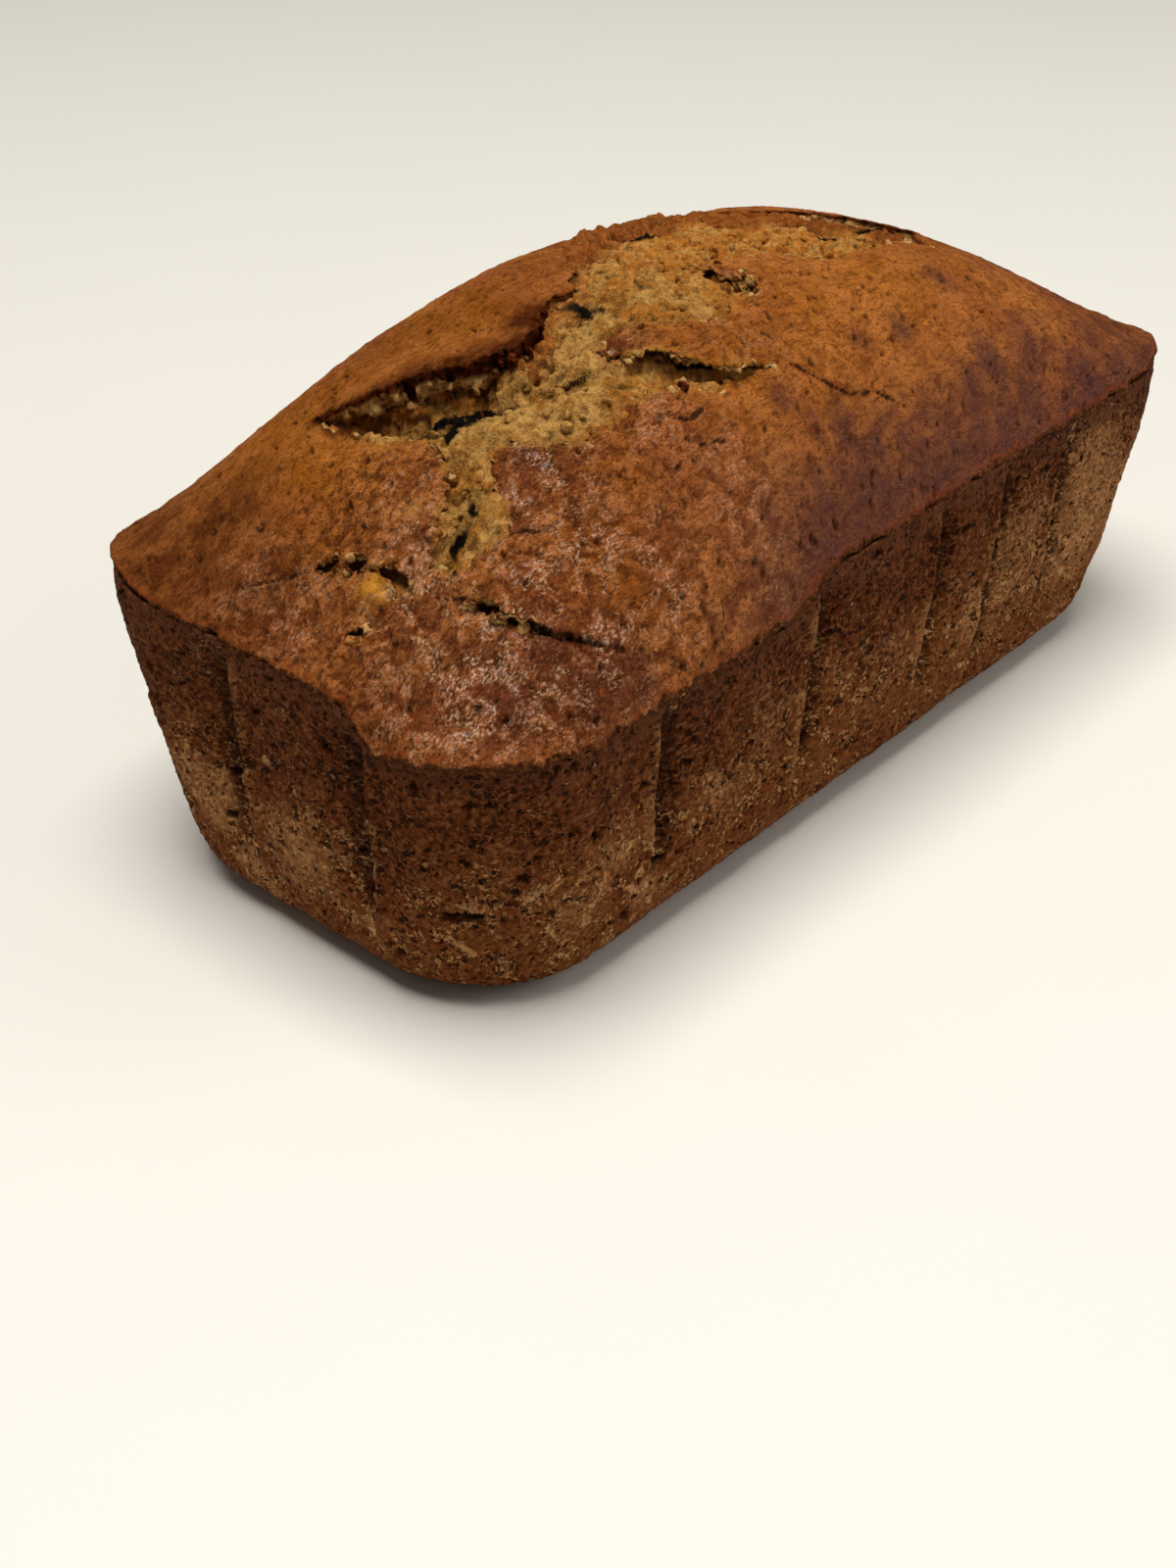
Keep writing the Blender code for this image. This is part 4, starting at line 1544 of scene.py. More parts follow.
    def wave_rim(self, points: Array, u: Array, v: Array, half_long: float, half_wide: float) -> Array:
        """Makes the rim uneven, in and out as well as up and down.

        Args:
            points: the skin.
            u, v: places on the unit square and past it.
            half_long, half_wide: half the rim's sides in mm.

        Returns:
            The uneven skin.
        """
        ring = np.maximum(np.abs(u), np.abs(v))
        _, _, way_x, way_y = self.form.rim_point(u / ring, v / ring)
        level = points * (1, 1, 0)
        inward = np.minimum(half_long - np.abs(points[..., 0]), half_wide - np.abs(points[..., 1]))
        near = bell(np.maximum(inward, 0), self.rounding)
        out = self.rim_wave * near * Noise(75).layered(level, 7, 3, 0.6)
        lift = self.rim_wave * near * Noise(76).layered(level, 9, 3, 0.6)
        return points + np.stack([way_x * out, way_y * out, lift], axis=-1)

    @staticmethod
    def normals(points: Array) -> Array:
        """Outward normals of a grid of points."""
        normal = np.cross(np.gradient(points, axis=0), np.gradient(points, axis=1))
        return normal / np.maximum(np.linalg.norm(normal, axis=-1, keepdims=True), 1e-9)

    def thickness(self, x: Array, edge: Array, far: Array, ring: Array) -> Array:
        """Thickness of the shell in mm: thick under the overhanging side of the tear.

        Args:
            x, edge, far, ring: place and marks of each point.

        Returns:
            Thickness in mm.
        """
        near = 0.9 + 0.25 * np.clip(edge, 0, 6)
        fringe = 3.0 + 3.4 * ease(-82, -70, x) * (1 - ease(-44, -34, x))
        thinner = 1 - 0.6 * ease(1.0, 1 + self.lip_share, ring)
        return mix(near, np.maximum(fringe, near), far) * thinner

    def torn_slant(self, points: Array, edge: Array) -> Array:
        """Uneven sideways push of the underside's torn edge, so that no torn face is straight.

        Args:
            points: the skin.
            edge: distance from the torn edge in mm.

        Returns:
            The push in mm.
        """
        level = points * (1, 1, 0)
        reach = self.slant_reach * bell(np.maximum(edge, 0), 2.0)
        push = [Noise(seed).single(level, 3.4) * reach for seed in (72, 73, 74)]
        return np.stack(push, axis=-1)

    def build(self) -> Piece:
        """Makes the crust, closes it into a shell and gives it its relief and finish.

        Returns:
            The finished crust.
        """
        points, shift, keep, marks = self.skin()
        across, deep = points.shape[:2]
        u_ring = np.pad(np.zeros((across - 2 * self.lip_rows, deep - 2 * self.lip_rows)),
                        self.lip_rows, "linear_ramp", end_values=1.0)
        ring = 1 + self.lip_share * u_ring
        depth = self.thickness(points[..., 0], marks["edge"], marks["far"], ring)
        under = points - self.normals(points) * depth[..., None] + shift
        under = under + self.torn_slant(points, marks["edge"])
        points = points + shift
        inside = (u_ring[:-1, :-1] == 0) & (u_ring[1:, 1:] == 0)
        plain = (marks["edge"][:-1, :-1] > self.block_margin) & inside
        verts, faces, source, share = Slab(points, under, keep, plain, rows=7).build()
        values = {name: mark.reshape(-1)[source] for name, mark in marks.items()}
        on_tear = values["edge"] < self.torn_margin
        values["torn"] = np.where(on_tear, share, 0.0)
        values["sheds"] = values["torn"] * (1 - self.tear.past_crest(verts[:, 0], verts[:, 1]))
        piece = mesh_piece("top_crust", verts * MM, faces, values)
        self.relief().apply(piece, self.finish.material(), {"Lump": 0.45, "Pebble": 0.34, "Tatter": 2.0})
        return piece

    @staticmethod
    def relief() -> Relief:
        """Lumps, pebbled skin, pores, and tattered torn faces.

        Returns:
            The tree, ready to be applied.
        """
        tree = Relief("crust relief")
        lump, pebble, tatter = tree.size("Lump"), tree.size("Pebble"), tree.size("Tatter")
        place = tree.place()
        front, torn = tree.mark("front"), tree.mark("torn")
        broad = (tree.noise(place, 12, 2) - 0.5) * lump * 1.6
        mid = (tree.noise(place, 4.2, 2) - 0.5) * lump * (front * 2.0 + 0.6)
        skin = (0.45 - tree.cells(tree.warp(place, 2.0, 0.9), 2.3)) * pebble * (front * 2.0 + 0.4)
        skin = skin + (tree.noise(place, 1.1, 1, 0.5) - 0.5) * pebble * (front * 1.6 + 0.4)
        wrinkle = tree.noise(tree.stretch(place, (0.5, 1.6, 1.0)), 2.2, 2) - 0.5
        wrinkle = wrinkle * pebble * (front * 2.0 + 1.8)
        spots = tree.cells(tree.warp(place, 2.0, 1.0), 2.8)
        pore = tree.step(0.27, 0.13, spots) * tree.step(0.42, 0.56, tree.noise(place, 7, 1))
        crease = tree.step(0.8, 0.0, tree.mark("crease"))
        clods = 0.45 - tree.cells(tree.warp(place, 2.5, 1.2), 2.6)
        rough = (clods + (tree.noise(place, 2.2, 3, 0.7) - 0.5) * 1.4) * tatter * tree.step(0.0, 0.4, torn)
        lip = (tree.noise(place, 1.2, 2, 0.6) - 0.5) * tree.step(0.35, 0.7, tree.mark("lip"))
        height = (broad + mid + skin + wrinkle + lip - pore * 0.6 - crease * 0.4 + rough) * MM
        tree.finish(height, pore * 0.8)
        return tree


# ---- the torn crumb
@dataclass
class TornCrumb:
    """Crumb that shows where the crust is split: shelf, crevice, inner wall and crest."""

    form: LoafForm
    tear: Tear
    finish: CrumbFinish = CrumbFinish()
    start: tuple[float, float] = (-116.0, -54.0)
    stop: tuple[float, float] = (70.0, 38.0)
    cell: float = 0.40
    margin: float = 6.0
    body: float = 4.0
    bare: float = 99.0

    def build(self) -> Piece:
        """Makes the crumb bed as one closed piece.

        Returns:
            The finished crumb.
        """
        x, y = np.meshgrid(np.arange(self.start[0], self.stop[0], self.cell),
                           np.arange(self.start[1], self.stop[1], self.cell), indexing="ij")
        edge = self.tear.edge(x, y)
        keep = open_corners(edge[:-1, :-1] < self.margin)
        depth = self.tear.crumb_depth(x, y, edge)
        inside = 1 - ease(-0.5, 1.5, edge)
        flat = np.stack([x * 0.8 + y * 0.3, y * 1.2, depth], axis=-1)
        far = self.tear.far_side(x, y)
        hanging = far * (1 - ease(-50, -40, x))
        clods = Noise(81).layered(flat, 6.5, 3, 0.6)
        tuft = (1.6 + 0.6 * hanging) * (clods - 0.35 * np.abs(clods)) + 0.3 * Noise(82).single(flat, 1.4)
        tuft = tuft * inside
        tuft = tuft * ease(0.0, 4.0, self.tear.from_crack(x, y)[0])
        top = self.form.height(x * MM, y * MM, self.form.ring_at(x * MM, y * MM)) / MM
        surface = np.stack([x, y, top - depth + tuft], axis=-1)
        under = surface - (0, 0, self.body)
        plain = np.ones_like(keep)
        verts, faces, source, _ = Slab(surface, under, keep, plain, rows=2, block=6).build()
        toast = far * bell(np.maximum(-edge, 0), 4.2) * ease(-84, -78, x)
        toast = np.maximum(toast, 0.55 * bell(np.maximum(-edge, 0), 1.3))
        crest = self.tear.past_crest(x, y)
        marks = {"hollow": depth, "bed": -edge - self.bare * (crest > 0), "toast": toast, "crest": crest,
                 "tuft": inside * (0.8 + 0.8 * hanging), "dark": self.tear.darkness(x, y, depth),
                 "baked": ease(-34, 0, x)}
        values = {name: mark.reshape(-1)[source] for name, mark in marks.items()}
        piece = mesh_piece("torn_crumb", verts * MM, faces, values)
        self.relief().apply(piece, self.finish.material(), {"Tuft": 1.5, "Pore": 0.7})
        return piece

    @staticmethod
    def relief() -> Relief:
        """Tufts and pores of torn crumb.

        Returns:
            The tree, ready to be applied.
        """
        tree = Relief("crumb relief")
        tuft, pore = tree.size("Tuft"), tree.size("Pore")
        place, open_share = tree.place(), tree.mark("tuft")
        coarse = (tree.noise(place, 5.2, 4, 0.62, 1.2) - 0.5) * tuft * 3.0
        hole = tree.step(0.36, 0.10, tree.cells(tree.warp(place, 1.6, 1.1), 2.4)) * pore
        tree.finish((coarse - hole) * open_share * MM, hole)
        return tree


class CrumbScatter(GeometryTree):
    """Loose tufts and crumbs that stand on a piece where its mark allows."""

    def __init__(self, name: str, mark: str, low: float, high: float) -> None:
        """Builds the tree; crumbs stand where the mark lies between low and high.

        Args:
            name: name of the tree.
            mark: attribute that says where crumbs stand.
            low, high: its limits.
        """
        super().__init__(name)
        density, size = self.size("Density"), self.size("Size")
        least, most = self.size("Least"), self.size("Most")
        seed = self.whole("Seed")
        start = self.signal(self.entry, "Geometry")
        allowed = self.mark(mark)
        within = self.math("MULTIPLY", self.math("GREATER_THAN", allowed, low),
                           self.math("LESS_THAN", allowed, high))
        clump = self.step(0.46, 0.62, self.noise(self.out("GeometryNodeInputPosition"), 4, 2))
        scatter = self.out("GeometryNodeDistributePointsOnFaces", None,
                           {"Mesh": start, "Density": density * within * clump, "Seed": seed})
        place = self.out("GeometryNodeInputPosition")
        shape = self.random("FLOAT_VECTOR", (0.45, 0.45, 0.45), (1.0, 1.0, 1.0), seed)
        amount = self.random("FLOAT", least, most, seed)
        turn = self.random("FLOAT_VECTOR", (0.0, 0.0, 0.0), (math.tau, math.tau, math.tau), seed)
        scaled = self.out("ShaderNodeVectorMath", {"operation": "SCALE"}, {0: shape, "Scale": amount * size})
        placed = self.out("GeometryNodeInstanceOnPoints", None,
                          {"Points": scatter, "Instance": self.ball(place), "Rotation": turn,
                           "Scale": scaled})
        real = self.out("GeometryNodeRealizeInstances", None, {0: placed})
        wobble = self.out("ShaderNodeTexNoise", None,
                          {"Vector": place, "Scale": 1 / (1.1 * MM), "Detail": 1.0}, "Color")
        push = self.vector("SUBTRACT", wobble, (0.5, 0.5, 0.5))
        offset = self.out("ShaderNodeVectorMath", {"operation": "SCALE"}, {0: push, "Scale": size * 1.5})
        self.close(self.out("GeometryNodeSetPosition", None, {"Geometry": real, "Offset": offset}))

    def random(self, kind: str, low: Signal | Colour, high: Signal | Colour, seed: Signal) -> Signal:
        """A random number or vector between low and high for each point.

        Args:
            kind: FLOAT or FLOAT_VECTOR.
            low, high: the limits.
            seed: fixes the draw.

        Returns:
            The random value.
        """
        first = 2 if kind == "FLOAT" else 0
        values = {first: low, first + 1: high, "Seed": seed}
        return self.out("FunctionNodeRandomValue", {"data_type": kind}, values, first // 2)

    def ball(self, place: Signal) -> Signal:
        """A cube of few faces, blown up to a ball."""
        cube = self.out("GeometryNodeMeshCube", None, {"Vertices X": 3, "Vertices Y": 3, "Vertices Z": 3})
        values = {"Geometry": cube, "Position": self.vector("NORMALIZE", place, (0, 0, 0))}
        return self.out("GeometryNodeSetPosition", None, values)


@dataclass
class LooseCrumbs:
    """Small torn tufts standing on the crumb, and crumbs stuck along the overhanging crust."""

    density: float
    size: float
    least: float
    most: float
    seed: int

    def on(self, host: Piece, name: str, mark: str, low: float, high: float,
           material: bpy.types.Material) -> Piece:
        """Scatters the crumbs over a copy of the host's mesh.

        Args:
            host: the piece that they stand on.
            name: name of the new piece.
            mark: attribute of the host that says where crumbs may stand.
            low: least value of the mark.
            high: greatest value of the mark.
            material: the crumbs' finish.

        Returns:
            The new piece, which holds the crumbs alone.
        """
        piece = place_new(name, host.data.copy())
        tree = CrumbScatter(name, mark, low, high)
        sizes = {"Density": self.density, "Size": self.size * MM, "Least": self.least, "Most": self.most,
                 "Seed": self.seed}
        tree.apply(piece, material, sizes)
        return piece


# ---- the walls
def near_strokes(level: Array, strokes: Spots) -> Array:
    """Nearness to short strokes on a wall, from 0 to 1; each has two ends and a half width.

    Args:
        level: points in mm.
        strokes: the strokes, in mm.

    Returns:
        Nearness of 0 to 1.
    """
    total = np.zeros(level.shape[:-1])
    for stroke in strokes:
        start, run, wide = np.array(stroke[:3]), np.array(stroke[3:6]) - stroke[:3], stroke[6]
        share = np.clip((level - start) @ run / (run @ run), 0, 1)
        distance = np.linalg.norm(level - start - share[..., None] * run, axis=-1)
        total = np.maximum(total, bell(distance, wide))
    return total


@dataclass
class BakedWalls:
    """Walls and base as the tin and its pleated liner left them."""

    form: LoafForm
    finish: WallFinish = WallFinish()
    columns_fine: float = 0.62
    columns_coarse: float = 1.5
    rows: int = 96
    edge_rows: int = 14
    sunk: float = 1.2
    cap_inset: float = 9.0
    folds_long_near: tuple[float, ...] = (-70, -24.5, 18, 41, 66)
    folds_long_far: tuple[float, ...] = (-64, -17, 26, 72)
    folds_short_near: tuple[float, ...] = (-21.5, 12)
    folds_short_far: tuple[float, ...] = (-16, 19)
    fold_lean: float = 4.0
    fold_depth: float = 3.1
    fold_width: float = 4.2
    fold_sharp: float = 1.4
    ridge_share: float = 0.35
    ridge_from: float = 3.4
    bulge: float = 1.2
    lip_step: float = -0.35
    bulge_spread: float = 13.0
    pale: Spots = (
        (-114, 22, 28, 11, 1), (-114, -1, 24, 13, 0.9), (-113, 12, 12, 10, 0.6), (-113, -20, 16, 6, 0.5),
        (-84, -52, 30, 9, 0.7), (-72, -51, 17, 9, 0.6), (-50, -52, 28, 11, 0.7), (-39, -53, 37, 9, 0.8),
        (-24, -54, 40, 8, 0.8), (2, -53, 32, 12, 0.5), (40, -53, 30, 14, 0.8), (52, -54, 42, 14, 0.9),
        (78, -53, 40, 20, 1.2), (76, -55, 52, 14, 1), (102, -53, 36, 20, 1.3), (-60, 52, 30, 14, 0.8),
        (-10, 53, 35, 12, 0.7), (40, 52, 28, 14, 0.8), (85, 53, 36, 12, 0.7), (114, -20, 30, 12, 0.8),
        (114, 15, 26, 12, 0.8), (-100, -47, 26, 9, 0.4), (-92, -50, 22, 9, 0.6),
    )
    holes: Spots = (
        (-110.8, -37.3, 24.8, -107.2, -42.3, 23.9, 1.2), (-78.6, -51, 13, -76.5, -51.2, 11.8, 1.1),
        (-103.3, -48.5, 34.8, -101.9, -49.2, 34.2, 0.8), (-91, -53.8, 40.1, -89.6, -53.8, 38.9, 0.8),
        (-77.2, -54.3, 43.8, -76, -54.2, 43, 0.8), (-111, -41.7, 38.9, -109.9, -42.6, 38.4, 0.7),
        (-116.1, -35.9, 55.4, -116, -36.7, 54.2, 0.7), (-116.7, -14.7, 54.6, -116.6, -16, 53.6, 0.8),
        (-114.2, 18.2, 23.2, -114.2, 17, 22.4, 0.9), (-115, 15.6, 34.1, -115, 14.2, 33.6, 0.9),
        (-64.1, -54.1, 41.2, -62.4, -54, 40.8, 0.8), (-97.3, -49.8, 24.3, -96.2, -50.2, 23.6, 0.7),
        (30, -52.5, 24, 31.5, -52.4, 23, 0.9), (66, -53, 32, 67.2, -53, 31, 0.8),
        (10, -54, 45, 11.4, -54, 44, 0.8), (96, -53, 38, 97, -53, 36.6, 0.8),
        (-50, 53, 30, -48.5, 53, 29, 0.9), (12, 54, 42, 13.5, 54, 41, 0.8), (60, 52, 24, 61.5, 52, 23.4, 1),
        (114, -10, 30, 114, -11.5, 29, 0.9), (115, 20, 42, 115, 21.2, 41, 0.8),
    )
    chips: Spots = (
        (-110.6, -37.8, 27.4, -106.8, -43, 27, 0.8), (-109.3, -38.2, 17.6, -107.3, -40.3, 15, 0.8),
        (-97.3, -49, 20.8, -94.8, -49.5, 16.2, 0.7), (-90.4, -51, 20.6, -89.9, -51.1, 17.6, 0.7),
        (-101.5, -48.7, 28.6, -97.2, -51, 33.4, 0.8), (-98.6, -50.6, 30.4, -96.2, -51.2, 32.4, 0.7),
        (-115.3, -21, 38.4, -114.7, -23.8, 29.4, 0.9), (-114.9, 26.9, 33.9, -114.8, 25.6, 31.6, 0.9),
        (-115.8, 2.4, 43.9, -115.7, 1.4, 42.4, 0.7), (-115.3, 10.4, 37.4, -115.2, 9.2, 36, 0.7),
        (-112.3, 31, 17.4, -112.2, 30.2, 15.4, 0.8), (-114.1, 0.4, 23.4, -114, -1.6, 22, 0.7),
        (-105.4, -43.3, 21.4, -104.4, -44.5, 19.6, 0.6), (-77.6, -51.7, 20.4, -76.6, -51.7, 18.4, 0.7),
        (-60.8, -52.1, 23.8, -59.8, -52.1, 21.8, 0.7), (-73.3, -52.6, 28.7, -72.6, -52.6, 26.4, 0.7),
        (-87.3, -52.7, 29.8, -86.8, -52.7, 27.4, 0.7), (-112.3, -32.2, 20.6, -112.3, -33, 18.4, 0.7),
        (-40, -52, 26, -39, -52, 23.6, 0.7), (12, -53, 30, 13.2, -53, 28, 0.7),
        (58, -53, 27, 59, -53, 24.8, 0.7), (92, -52, 22, 93, -52, 20, 0.7), (-30, 52, 26, -29, 52, 24, 0.8),
        (34, 53, 33, 35, 53, 31, 0.7), (113, 6, 20, 113, 7, 18.4, 0.8),
    )

    def around(self) -> tuple[Array, Array]:
        """Places round the unit square, crowded along the -X and -Y sides.

        Returns:
            u and v of each column.
        """
        half_long, half_wide = self.form.rim_length / 2 / MM, self.form.rim_width / 2 / MM
        fine, coarse = self.columns_fine, self.columns_coarse
        near_long = np.arange(-1, 1, fine / half_long)
        far_wide = graded_lines(-1, 1, fine / half_wide, coarse / half_wide, -0.8)[:-1]
        far_long = np.arange(-1, 1, coarse / half_long)
        near_wide = graded_lines(-1, 1, fine / half_wide, fine / half_wide, 1.0)[:-1]
        one = np.ones_like
        u = np.concatenate([near_long, one(far_wide), -far_long, -one(near_wide)])
        v = np.concatenate([-one(near_long), far_wide, one(far_long), -near_wide])
        return u, v

    def pleats(self, x: Array, y: Array, z: Array, way_x: Array, way_y: Array) -> tuple[Array, Array]:
        """How far the walls stand out in mm at a point, and how deep in a fold it lies.

        Args:
            x, y, z: points in mm.
            way_x, way_y: the way out of the wall.

        Returns:
            The offset in mm, and the depth in a fold.
        """
        shift = self.fold_lean * (1 - z / 64) - self.fold_lean / 2
        offset = np.zeros_like(x)
        depth = np.zeros_like(x)
        sides = ((-way_y, x, self.folds_long_near), (way_y, x, self.folds_long_far),
                 (-way_x, y, self.folds_short_near), (way_x, y, self.folds_short_far))
        for facing, along, folds in sides:
            straight = ease(0.8, 1.0, facing)
            signed = np.full(x.shape, np.inf)
            for number, fold in enumerate(folds):
                lean = shift * (1 if number % 2 == 0 else 0.6)
                past = along - fold - lean * np.sign(facing)
                signed = np.where(np.abs(past) < np.abs(signed), past, signed)
            nearest = np.abs(signed)
            groove = bell(nearest, np.where(signed < 0, self.fold_sharp, self.fold_width))
            groove = groove - self.ridge_share * bell(signed + self.ridge_from, self.fold_sharp)
            swell = self.bulge * (1 - bell(nearest, self.bulge_spread))
            offset += straight * (swell - self.fold_depth * groove)
            depth += straight * groove
        return offset, depth

    def build(self) -> Piece:
        """Makes the walls, the rounding to the base and the hidden cap under the crust.

        Returns:
            The finished walls.
        """
        form = self.form
        u, v = self.around()
        row = np.arange(self.rows + 1)[:, None]
        rim_x, rim_y, _, _ = form.rim_point(u, v)
        top = form.height(rim_x, rim_y, np.ones_like(rim_x)) / MM - self.sunk
        base_edge = form.base_edge / MM
        turn = np.pi / 2 * np.minimum(row / self.edge_rows, 1.0)
        climb = np.clip((row - self.edge_rows) / (self.rows - self.edge_rows), 0, 1)
        z = np.where(row <= self.edge_rows, base_edge * (1 - np.cos(turn)), mix(base_edge, top, climb))
        inset = base_edge * (1 - np.sin(turn))
        share = np.minimum(z / (form.rim_height / MM), 1.0)
        half_long = mix(form.base_length, form.rim_length, share) / 2 / MM - inset
        half_wide = mix(form.base_width, form.rim_width, share) / 2 / MM - inset
        corner = mix(form.base_corner, form.rim_corner, share) / MM - inset
        x, y, way_x, way_y = form.rounded(u[None], v[None], half_long, half_wide, corner)
        offset, fold = self.pleats(x, y, z, way_x, way_y)
        fade = ease(0.0, 0.3, climb) * (1 - 0.6 * ease(0.8, 1.0, climb))
        level = np.stack([x, y, z], axis=-1)
        offset = offset * fade + 0.5 * Noise(91).layered(level, 18, 2) * ease(0.0, 0.1, climb)
        near_lip = ease(0.90, 0.98, climb)
        offset = offset * (1 - 0.8 * near_lip) + self.lip_step * near_lip
        wall = np.stack([x + way_x * offset, y + way_y * offset, z], axis=-1)
        inner = level[-1] - np.stack([way_x[-1], way_y[-1], np.full_like(u, 0.45)], axis=-1) * self.cap_inset
        foot = ease(0.0, 2.5, z) * (1 - ease(0.96, 0.99, climb))
        marks = {"up": (z / top, 1), "fold": (fold * fade, 0), "pale": (self.paleness(level), 0),
                 "gouge": (near_strokes(level, self.holes), 0), "chip": (near_strokes(level, self.chips), 0),
                 "foot": (foot * np.ones_like(x), 1)}
        whole = {name: np.append(mark, np.full(len(u), cap)) for name, (mark, cap) in marks.items()}
        return self.close(np.concatenate([wall, inner[None]]), whole)

    def paleness(self, level: Array) -> Array:
        """How tan the skin is, from its soft round patches.

        Args:
            level: points in mm.

        Returns:
            Strengths, from 0 up.
        """
        pale = np.zeros(level.shape[:-1])
        for spot_x, spot_y, spot_z, radius, strength in self.pale:
            distance = np.linalg.norm(level - (spot_x, spot_y, spot_z), axis=-1)
            pale = np.maximum(pale, strength * bell(distance, radius))
        return pale

    def close(self, rings: Array, marks: dict[str, Array]) -> Piece:
        """Joins the rings, closes them with a base and a cap, and gives them relief and finish.

        Args:
            rings: the rings of points in mm, from the base up.
            marks: a value for each point, by attribute.

        Returns:
            The finished walls.
        """
        count = rings.shape[1]
        number = np.arange(rings.shape[0] * count).reshape(rings.shape[0], count)
        after = np.roll(number, -1, axis=1)
        quads = np.stack([number[:-1], after[:-1], after[1:], number[1:]], axis=-1).reshape(-1, 4)
        faces = [tuple(quad) for quad in quads.tolist()]
        faces += [tuple(reversed(number[0].tolist())), tuple(number[-1].tolist())]
        piece = mesh_piece("baked_walls", rings.reshape(-1, 3) * MM, faces, marks)
        self.relief().apply(piece, self.finish.material(), {"Lump": 0.5, "Crumb": 0.5, "Pit": 1.3})
        return piece

    @staticmethod
    def relief() -> Relief:
        """Crumbly skin with pits; it stays flat on the base.

        Returns:
            The tree, ready to be applied.
        """
        tree = Relief("wall relief")
        lump, crumb, pit = tree.size("Lump"), tree.size("Crumb"), tree.size("Pit")
        place, foot, up = tree.place(), tree.mark("foot"), tree.mark("up")
        broad = (tree.noise(place, 9, 2) - 0.5) * lump * 2
        skin = (tree.noise(place, 1.1, 2, 0.6) - 0.5) * crumb * 2
        flake = tree.step(0.52, 0.57, tree.noise(place, 5.0, 4, 0.62, 0.8)) * tree.step(0.9, 0.6, up) * -0.45
        shaken = tree.warp(tree.stretch(place, (1, 1, 1.4)), 2.5, 1.6)
        small = tree.step(0.30, 0.16, tree.cells(shaken, 2.4))
        small = small * tree.step(0.48, 0.58, tree.noise(place, 4, 1))
        large = tree.step(0.22, 0.12, tree.cells(shaken, 6.0))
        large = large * tree.step(0.52, 0.58, tree.noise(place, 9, 1))
        gouge = tree.step(0.35, 0.75, tree.mark("gouge") + skin * 0.3)
        chip = tree.step(0.30, 0.70, tree.mark("chip") + skin * 0.4) * 0.45
        hole = tree.math("MAXIMUM", tree.math("MAXIMUM", small * 0.7, large), gouge)
        tree.finish((broad + skin + flake + chip - hole * pit) * foot * MM, hole)
        return tree


# ---- camera, floor and light
@dataclass(frozen=True)
class Softbox:
    """A square light turned towards the loaf; angles in degrees from +X, lengths in metres."""

    name: str
    azimuth: float
    elevation: float
    distance: float
    size: float
    power: float
    tint: Colour

    def hang(self, aim: tuple[float, float, float]) -> None:
        """Hangs the light so that it faces the aim.

        Args:
            aim: the point that it faces, in metres.
        """
        data = bpy.data.lights.new(self.name, "AREA")
        data.size = self.size
        data.energy = self.power
        data.color = self.tint
        light = place_new(self.name, data)
        turn, rise = math.radians(self.azimuth), math.radians(self.elevation)
        offset = (math.cos(turn) * math.cos(rise), math.sin(turn) * math.cos(rise), math.sin(rise))
        light.location = [start + part * self.distance for start, part in zip(aim, offset)]
        light.rotation_euler = Euler((math.pi / 2 - rise, 0, turn + math.pi / 2))


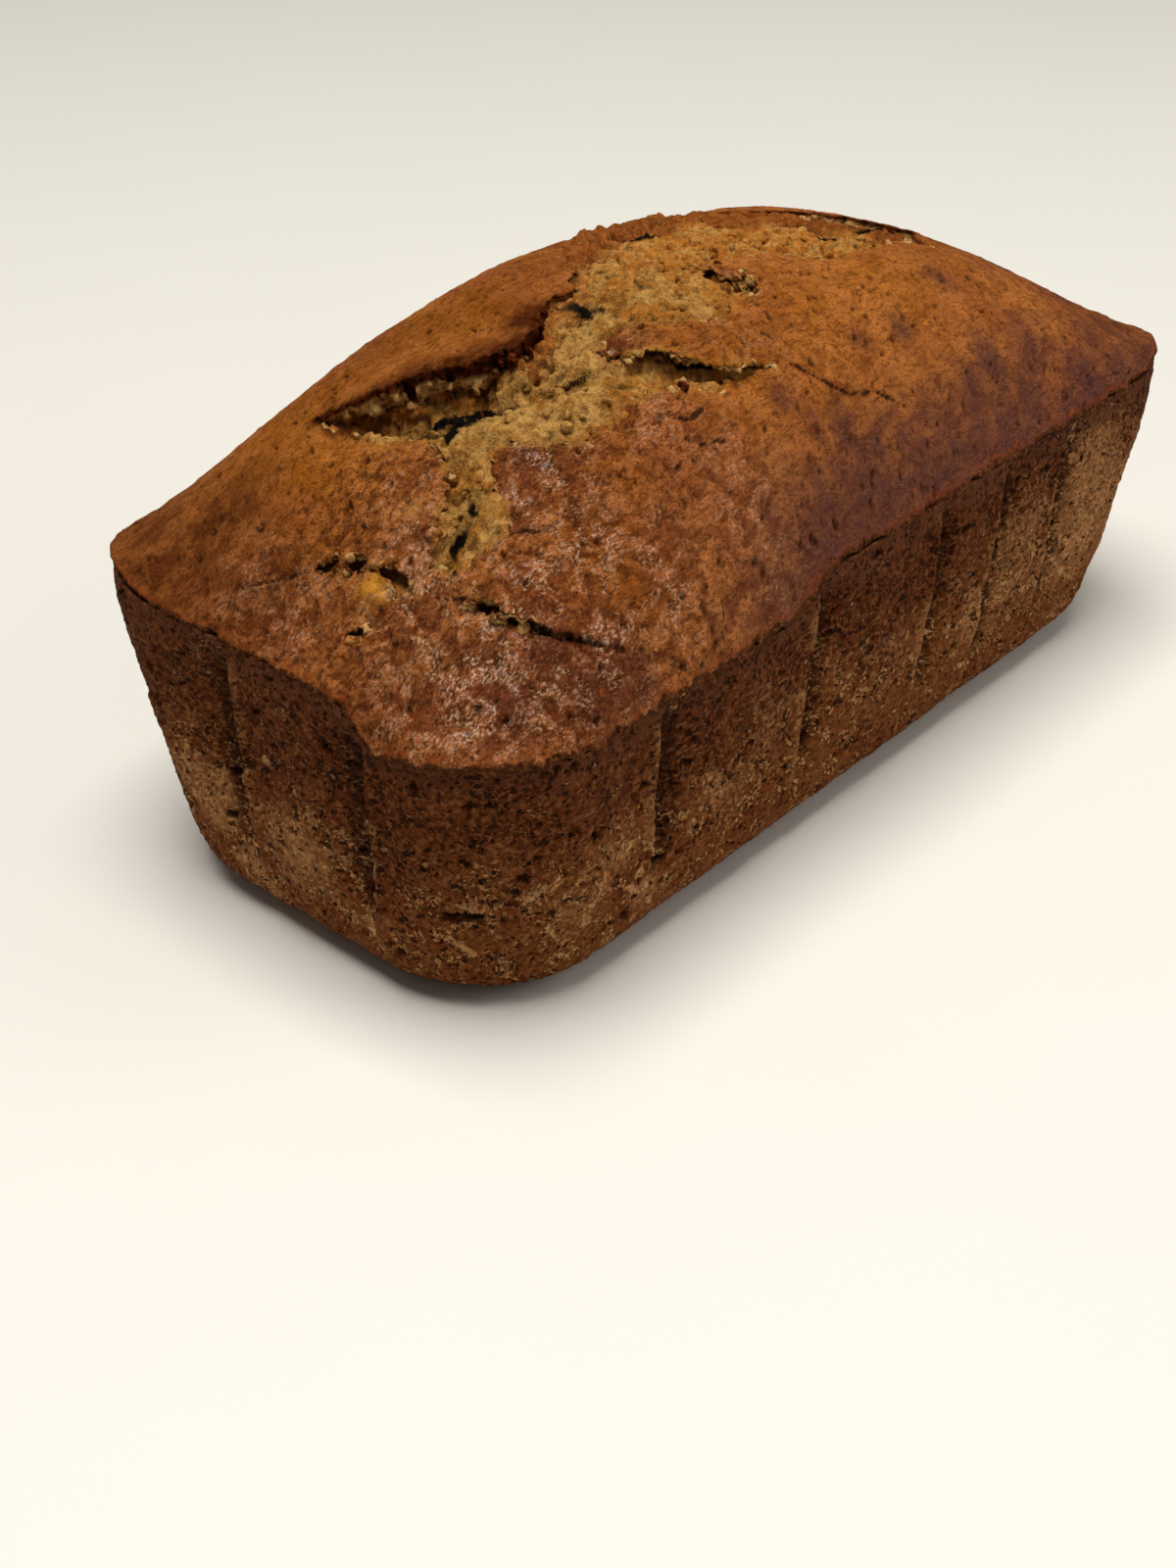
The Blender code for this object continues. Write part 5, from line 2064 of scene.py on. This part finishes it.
@dataclass(frozen=True)
class Studio:
    """Pale floor, soft light and the camera."""

    eye: tuple[float, float, float] = (-0.31879, -0.25270, 0.25778)
    heading: float = 41.143
    pitch: float = 34.417
    lens: float = 48.54
    sensor: float = 36.0
    floor_half: float = 3.0
    floor_drop: float = 0.0002
    world: Colour = (1.0, 0.97, 0.93)
    world_strength: float = 0.12
    aim: tuple[float, float, float] = (0.0, 0.0, 0.06)
    lights: tuple[Softbox, ...] = (
        Softbox("key light", 190, 82, 1.6, 1.0, 30.5, (1.0, 0.98, 0.95)),
        Softbox("fill light", 306, 30, 1.4, 0.9, 5.2, (1.0, 0.98, 0.96)),
    )

    def camera(self) -> None:
        """Places the camera."""
        data = bpy.data.cameras.new("camera")
        data.lens = self.lens
        data.sensor_width = self.sensor
        camera = place_new("camera", data)
        camera.location = self.eye
        camera.rotation_euler = Euler((math.radians(90 - self.pitch), 0, math.radians(self.heading - 90)))
        bpy.context.scene.camera = camera

    def floor(self) -> None:
        """Lays the floor just under the loaf."""
        half = self.floor_half
        corners = [(-half, -half, 0), (half, -half, 0), (half, half, 0), (-half, half, 0)]
        mesh = bpy.data.meshes.new("floor")
        mesh.from_pydata(corners, [], [(0, 1, 2, 3)])
        mesh.materials.append(FloorFinish().material())
        floor = place_new("floor", mesh)
        floor.location.z = -self.floor_drop

    def build(self) -> None:
        """Camera, floor, world and lights."""
        self.camera()
        self.floor()
        world = bpy.data.worlds.new("studio")
        world.use_nodes = True
        backdrop = world.node_tree.nodes["Background"]
        backdrop.inputs["Color"].default_value = (*self.world, 1.0)
        backdrop.inputs["Strength"].default_value = self.world_strength
        bpy.context.scene.world = world
        bpy.context.scene.view_settings.view_transform = "Standard"
        for light in self.lights:
            light.hang(self.aim)


def join_frame(piece: Piece) -> None:
    """Ties a finished piece to the loaf's body, and hides the frame's solid.

    Args:
        piece: the piece, as a plain mesh.
    """
    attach(piece, BODY)
    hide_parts(NODE)
    log.info("%s: %d faces", piece.name, len(piece.data.polygons))


def main() -> None:
    """Builds the loaf piece by piece, then the studio."""
    logging.basicConfig(level=logging.INFO, format="%(name)s: %(message)s")
    form, tear = LoafForm(), Tear()
    walls = BakedWalls(form).build()
    crust = TopCrust(form, tear).build()
    crumb = TornCrumb(form, tear).build()
    tufts = LooseCrumbs(density=1.1e5, size=1.0, least=0.5, most=1.5, seed=5).on(
        crumb, "crumb_tufts", "bed", 0.8, 60.0, crumb.data.materials[0])
    fringe = LooseCrumbs(density=3.0e5, size=1.0, least=0.5, most=1.6, seed=6).on(
        crust, "crust_crumbs", "sheds", 0.2, 0.95, crust.data.materials[0])
    for piece in (walls, crust, crumb, tufts, fringe):
        join_frame(piece)
    Studio().build()


if __name__ == "__main__":
    main()
